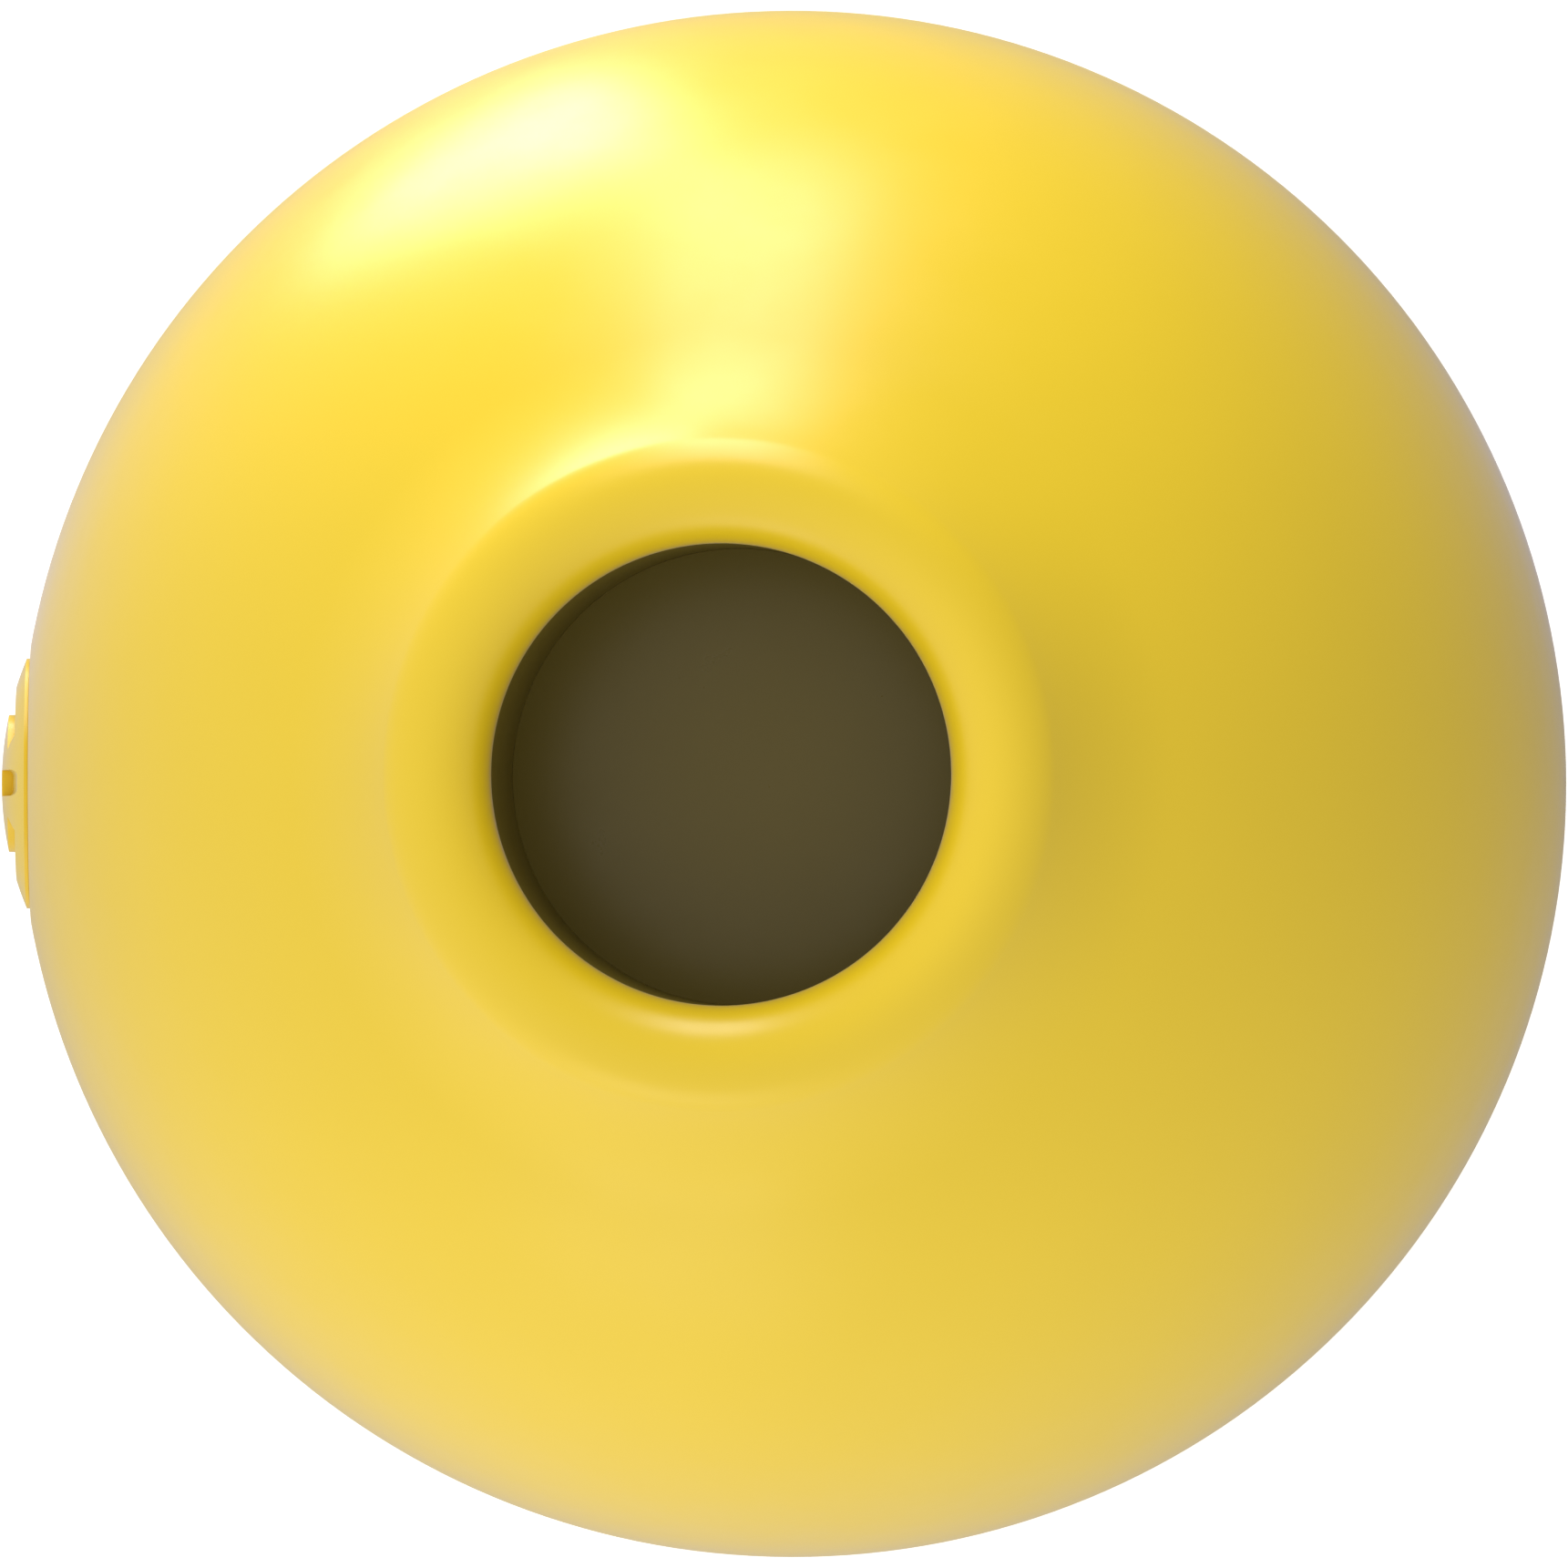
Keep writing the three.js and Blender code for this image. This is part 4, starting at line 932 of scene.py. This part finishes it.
def make_lower_cap():
    profile = rounded([
        (0, LOWER_CAP_FACE),
        (LOWER_CAP_R, LOWER_CAP_FACE),
        (LOWER_CAP_R, LOWER_CAP_SEAT),
        (CANISTER_PLUG_R, LOWER_CAP_SEAT),
        (CANISTER_PLUG_R, GROOVE_LOW),
        (GROOVE_R, GROOVE_LOW),
        (GROOVE_R, GROOVE_HIGH),
        (CANISTER_PLUG_R, GROOVE_HIGH),
        (CANISTER_PLUG_R, LOWER_CAP_TOP),
        (CUP_R, LOWER_CAP_TOP),
        (CUP_FLOOR_R, CUP_FLOOR),
        (0, CUP_FLOOR),
    ], 0.4, closed=False)
    cap = solid_lathe("lower_cap_skin", profile, ROUND)
    tools = []
    for turn in THIRDS:
        notch = sector("notch", NOTCH_R, NOTCH_OUTER_R, NOTCH_LOW, NOTCH_HIGH, NOTCH_SPAN)
        tools.append(around(notch, 0, turn + math.pi / 3))
    tools.append(disc("pocket", PAD_POCKET_R, 0, PAD_POCKET_TOP, FINE))
    tools.append(fitted(disc("sensor", SENSOR_POCKET_R, 0, SENSOR_POCKET_TOP), SENSOR_ANGLE))
    for angle in CONTACT_ANGLES:
        tools.append(fitted(disc("contact", CONTACT_POCKET_R, 0, CONTACT_POCKET_TOP), angle))
    tools.append(fitted(disc("button", BUTTON_BORE_R, 0, BUTTON_BORE_TOP), BUTTON_ANGLE))
    tools.append(fitted(disc("flange", BUTTON_ROOM_R, BUTTON_ROOM_LOW, BUTTON_ROOM_TOP), BUTTON_ANGLE))
    carve(cap, tools)
    use(softened(cap, 0.2, 2), GRAPHITE, "float", "graphite_plastic", "lower_cap")


def make_foot_pad():
    side = PAD_GROOVE_SIDE
    grooves = []
    for k in reversed(range(PAD_GROOVES)):
        outer = PAD_GROOVE_R - PAD_GROOVE_STEP * k
        grooves += [(outer - 3 * side, 0), (outer - 2 * side, side), (outer - side, side), (outer, 0)]
    profile = rounded([(0, 0), *grooves, (PAD_R, 0, 1), (PAD_R, PAD_TOP), (0, PAD_TOP)], 0.15, closed=False)
    use(solid_lathe("pad_skin", profile), RUBBER, "float", "black_rubber", "foot_pad")


def make_sensor():
    profile = rounded([
        (0, SENSOR_PORT_TOP),
        (SENSOR_PORT_R, SENSOR_PORT_TOP),
        (SENSOR_PORT_R, SENSOR_FACE),
        (SENSOR_R, SENSOR_FACE, 0.5),
        (SENSOR_R, SENSOR_TOP),
        (0, SENSOR_TOP),
    ], 0.15, closed=False)
    sensor = fitted(solid_lathe("sensor_skin", profile, SMALL), SENSOR_ANGLE)
    use(sensor, STEEL, "float", "steel", "pressure_sensor")


def make_contacts():
    for i, angle in enumerate(CONTACT_ANGLES):
        profile = rounded([
            (0, CONTACT_FACE),
            (CONTACT_R, CONTACT_FACE, 0.7),
            (CONTACT_R, CONTACT_TOP),
            (0, CONTACT_TOP),
        ], 0.15, closed=False)
        contact = fitted(solid_lathe("contact_" + str(i + 1), profile, SMALL), angle)
        use(contact, GOLD, "float", "gold_contact", "charge_contact_" + str(i + 1))


def make_button():
    profile = rounded([
        (0, BUTTON_DISH_TOP),
        (BUTTON_DISH_FLOOR_R, BUTTON_DISH_FLOOR),
        (BUTTON_DISH_R, BUTTON_FACE, 0.6),
        (BUTTON_FACE_R, BUTTON_FACE),
        (BUTTON_R, BUTTON_DISH_TOP, 0.4),
        (BUTTON_R, BUTTON_FLANGE_LOW),
        (BUTTON_FLANGE_R, BUTTON_FLANGE_LOW),
        (BUTTON_FLANGE_R, BUTTON_TOP),
        (0, BUTTON_TOP),
    ], 0.2, closed=False)
    button = fitted(solid_lathe("button_skin", profile, SMALL), BUTTON_ANGLE)
    use(button, RUBBER, "power_button", "black_rubber", "power_button")
    spring = coil("button_coil", BUTTON_COIL_R, BUTTON_COIL_WIRE, BUTTON_COIL_LOW, BUTTON_COIL_HIGH,
                  BUTTON_COIL_TURNS)
    use(fitted(spring, BUTTON_ANGLE), STEEL, "float", "steel", "button_spring")
    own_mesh(spring)


# ---------------------------------------------------------------- what the CAD keeps
def paint_kept_nodes():
    """The sealed pieces keep their CAD shape and get their slot's material."""
    slots = {part["node"]: part["material_slot"] for part in frame["record"]["subparts"]}
    for name, node in frame["nodes"].items():
        node.data.materials.clear()
        node.data.materials.append(SLOT_MATERIALS[slots[name]])
        node.data.shade_smooth()
        node.data.set_sharp_from_angle(angle=math.radians(32))


# ---------------------------------------------------------------- stage
def make_floor():
    reach = FLOOR_REACH
    corners = [(-reach, -reach, 0), (reach, -reach, 0), (reach, reach, 0), (-reach, reach, 0)]
    floor = new_object("floor", corners, [(0, 1, 2, 3)])
    material, tree, shader, place = node_tree("pale_floor")
    clouds = noise(tree, place, scale=3.0)
    tone = ramp(tree, clouds, [(0.3, (0.76, 0.76, 0.76)), (0.7, (0.79, 0.79, 0.79))])
    tree.links.new(tone, shader.inputs["Base Color"])
    shader.inputs["Roughness"].default_value = 0.8
    shader.inputs["Emission Color"].default_value = (1, 1, 1, 1)
    shader.inputs["Emission Strength"].default_value = 0.5
    floor.data.materials.append(material)
    floor.visible_glossy = False
    floor.visible_diffuse = False


def total(tree, values):
    """The sum of several values."""
    result = values[0]
    for value in values[1:]:
        node = tree.nodes.new("ShaderNodeMath")
        tree.links.new(result, node.inputs[0])
        tree.links.new(value, node.inputs[1])
        result = node.outputs["Value"]
    return result


def make_world():
    """A white room, brighter overhead and towards -X and -Y and darker below, seen as plain white."""
    world = bpy.data.worlds.new("studio")
    bpy.context.scene.world = world
    world.use_nodes = True
    tree = world.node_tree
    background = tree.nodes["Background"]
    place = tree.nodes.new("ShaderNodeTexCoord")
    axes = tree.nodes.new("ShaderNodeSeparateXYZ")
    tree.links.new(place.outputs["Generated"], axes.inputs["Vector"])
    sideways = slope(tree, axes.outputs["X"], (-1, 1), (0.95, 0.46))
    lengthways = slope(tree, axes.outputs["Y"], (-1, 1), (0.46, -0.2))
    upwards = slope(tree, axes.outputs["Z"], (0, 1), (0, 0.07))
    downwards = slope(tree, axes.outputs["Z"], (-1, 0), (-0.38, 0))
    tree.links.new(total(tree, [sideways, lengthways, upwards, downwards]), background.inputs["Strength"])
    background.inputs["Color"].default_value = (1, 1, 1, 1)
    seen = tree.nodes.new("ShaderNodeLightPath")
    backdrop = tree.nodes.new("ShaderNodeBackground")
    mix = tree.nodes.new("ShaderNodeMixShader")
    tree.links.new(seen.outputs["Is Camera Ray"], mix.inputs["Fac"])
    tree.links.new(background.outputs["Background"], mix.inputs[1])
    tree.links.new(backdrop.outputs["Background"], mix.inputs[2])
    backdrop.inputs["Color"].default_value = (1, 1, 1, 1)
    tree.links.new(mix.outputs["Shader"], tree.nodes["World Output"].inputs["Surface"])


def softbox(name, centre, target, width, height, radiance):
    """A rectangular light, by its brightness, that isn't itself in view."""
    data = bpy.data.lights.new(name, "AREA")
    data.shape = "RECTANGLE"
    data.size = width
    data.size_y = height
    data.energy = radiance * math.pi * width * height
    light = bpy.data.objects.new(name, data)
    bpy.context.scene.collection.objects.link(light)
    light.location = centre
    light.rotation_mode = "QUATERNION"
    light.rotation_quaternion = (Vector(target) - Vector(centre)).to_track_quat("-Z", "Y")
    light.visible_camera = False


def make_lights():
    """Places and sizes in metres."""
    softbox("tall_strip", (-0.05, 0.8, 0.42), (-0.03, 0, 0.42), width=0.3, height=0.84, radiance=6.3)
    softbox("low_panel", (-0.19, 0.45, 0.01), (-0.19, 0.45, 1), width=0.2, height=0.34, radiance=7.0)
    softbox("front_fill", (-0.25, -1.1, 0.5), (0, 0, 0.15), width=0.7, height=0.6, radiance=0.8)


def make_camera():
    data = bpy.data.cameras.new("camera")
    data.lens = FOCAL_LENGTH
    data.sensor_width = FILM_WIDTH
    camera = bpy.data.objects.new("camera", data)
    bpy.context.scene.collection.objects.link(camera)
    bpy.context.scene.camera = camera
    equator = Vector((0, 0, EQUATOR_Z * MM))
    back = Vector((math.tan(CAMERA_LEAN_X), -math.tan(CAMERA_LEAN_Y), 1)).normalized()
    right = Vector((0, 1, 0)).cross(back).normalized()
    turn = Matrix((right, back.cross(right), back)).transposed().to_4x4()
    aside = Vector((CAMERA_ASIDE * MM, 0, 0))
    camera.matrix_world = Matrix.Translation(equator + aside + back * CAMERA_DISTANCE * MM) @ turn
    data.clip_start = 0.1
    data.clip_end = 50


make_float()
make_sleeve()
make_window()
make_valve_cap()
make_valve_body()
make_poppet()
make_base_ring()
make_screws()
make_feet()
make_bail()
make_bail_pins()
make_lock_ring()
make_lower_cap()
make_foot_pad()
make_sensor()
make_contacts()
make_button()
paint_kept_nodes()
make_floor()
make_world()
make_lights()
make_camera()

scene = bpy.context.scene
scene.view_settings.view_transform = "Standard"
scene.view_settings.look = "None"
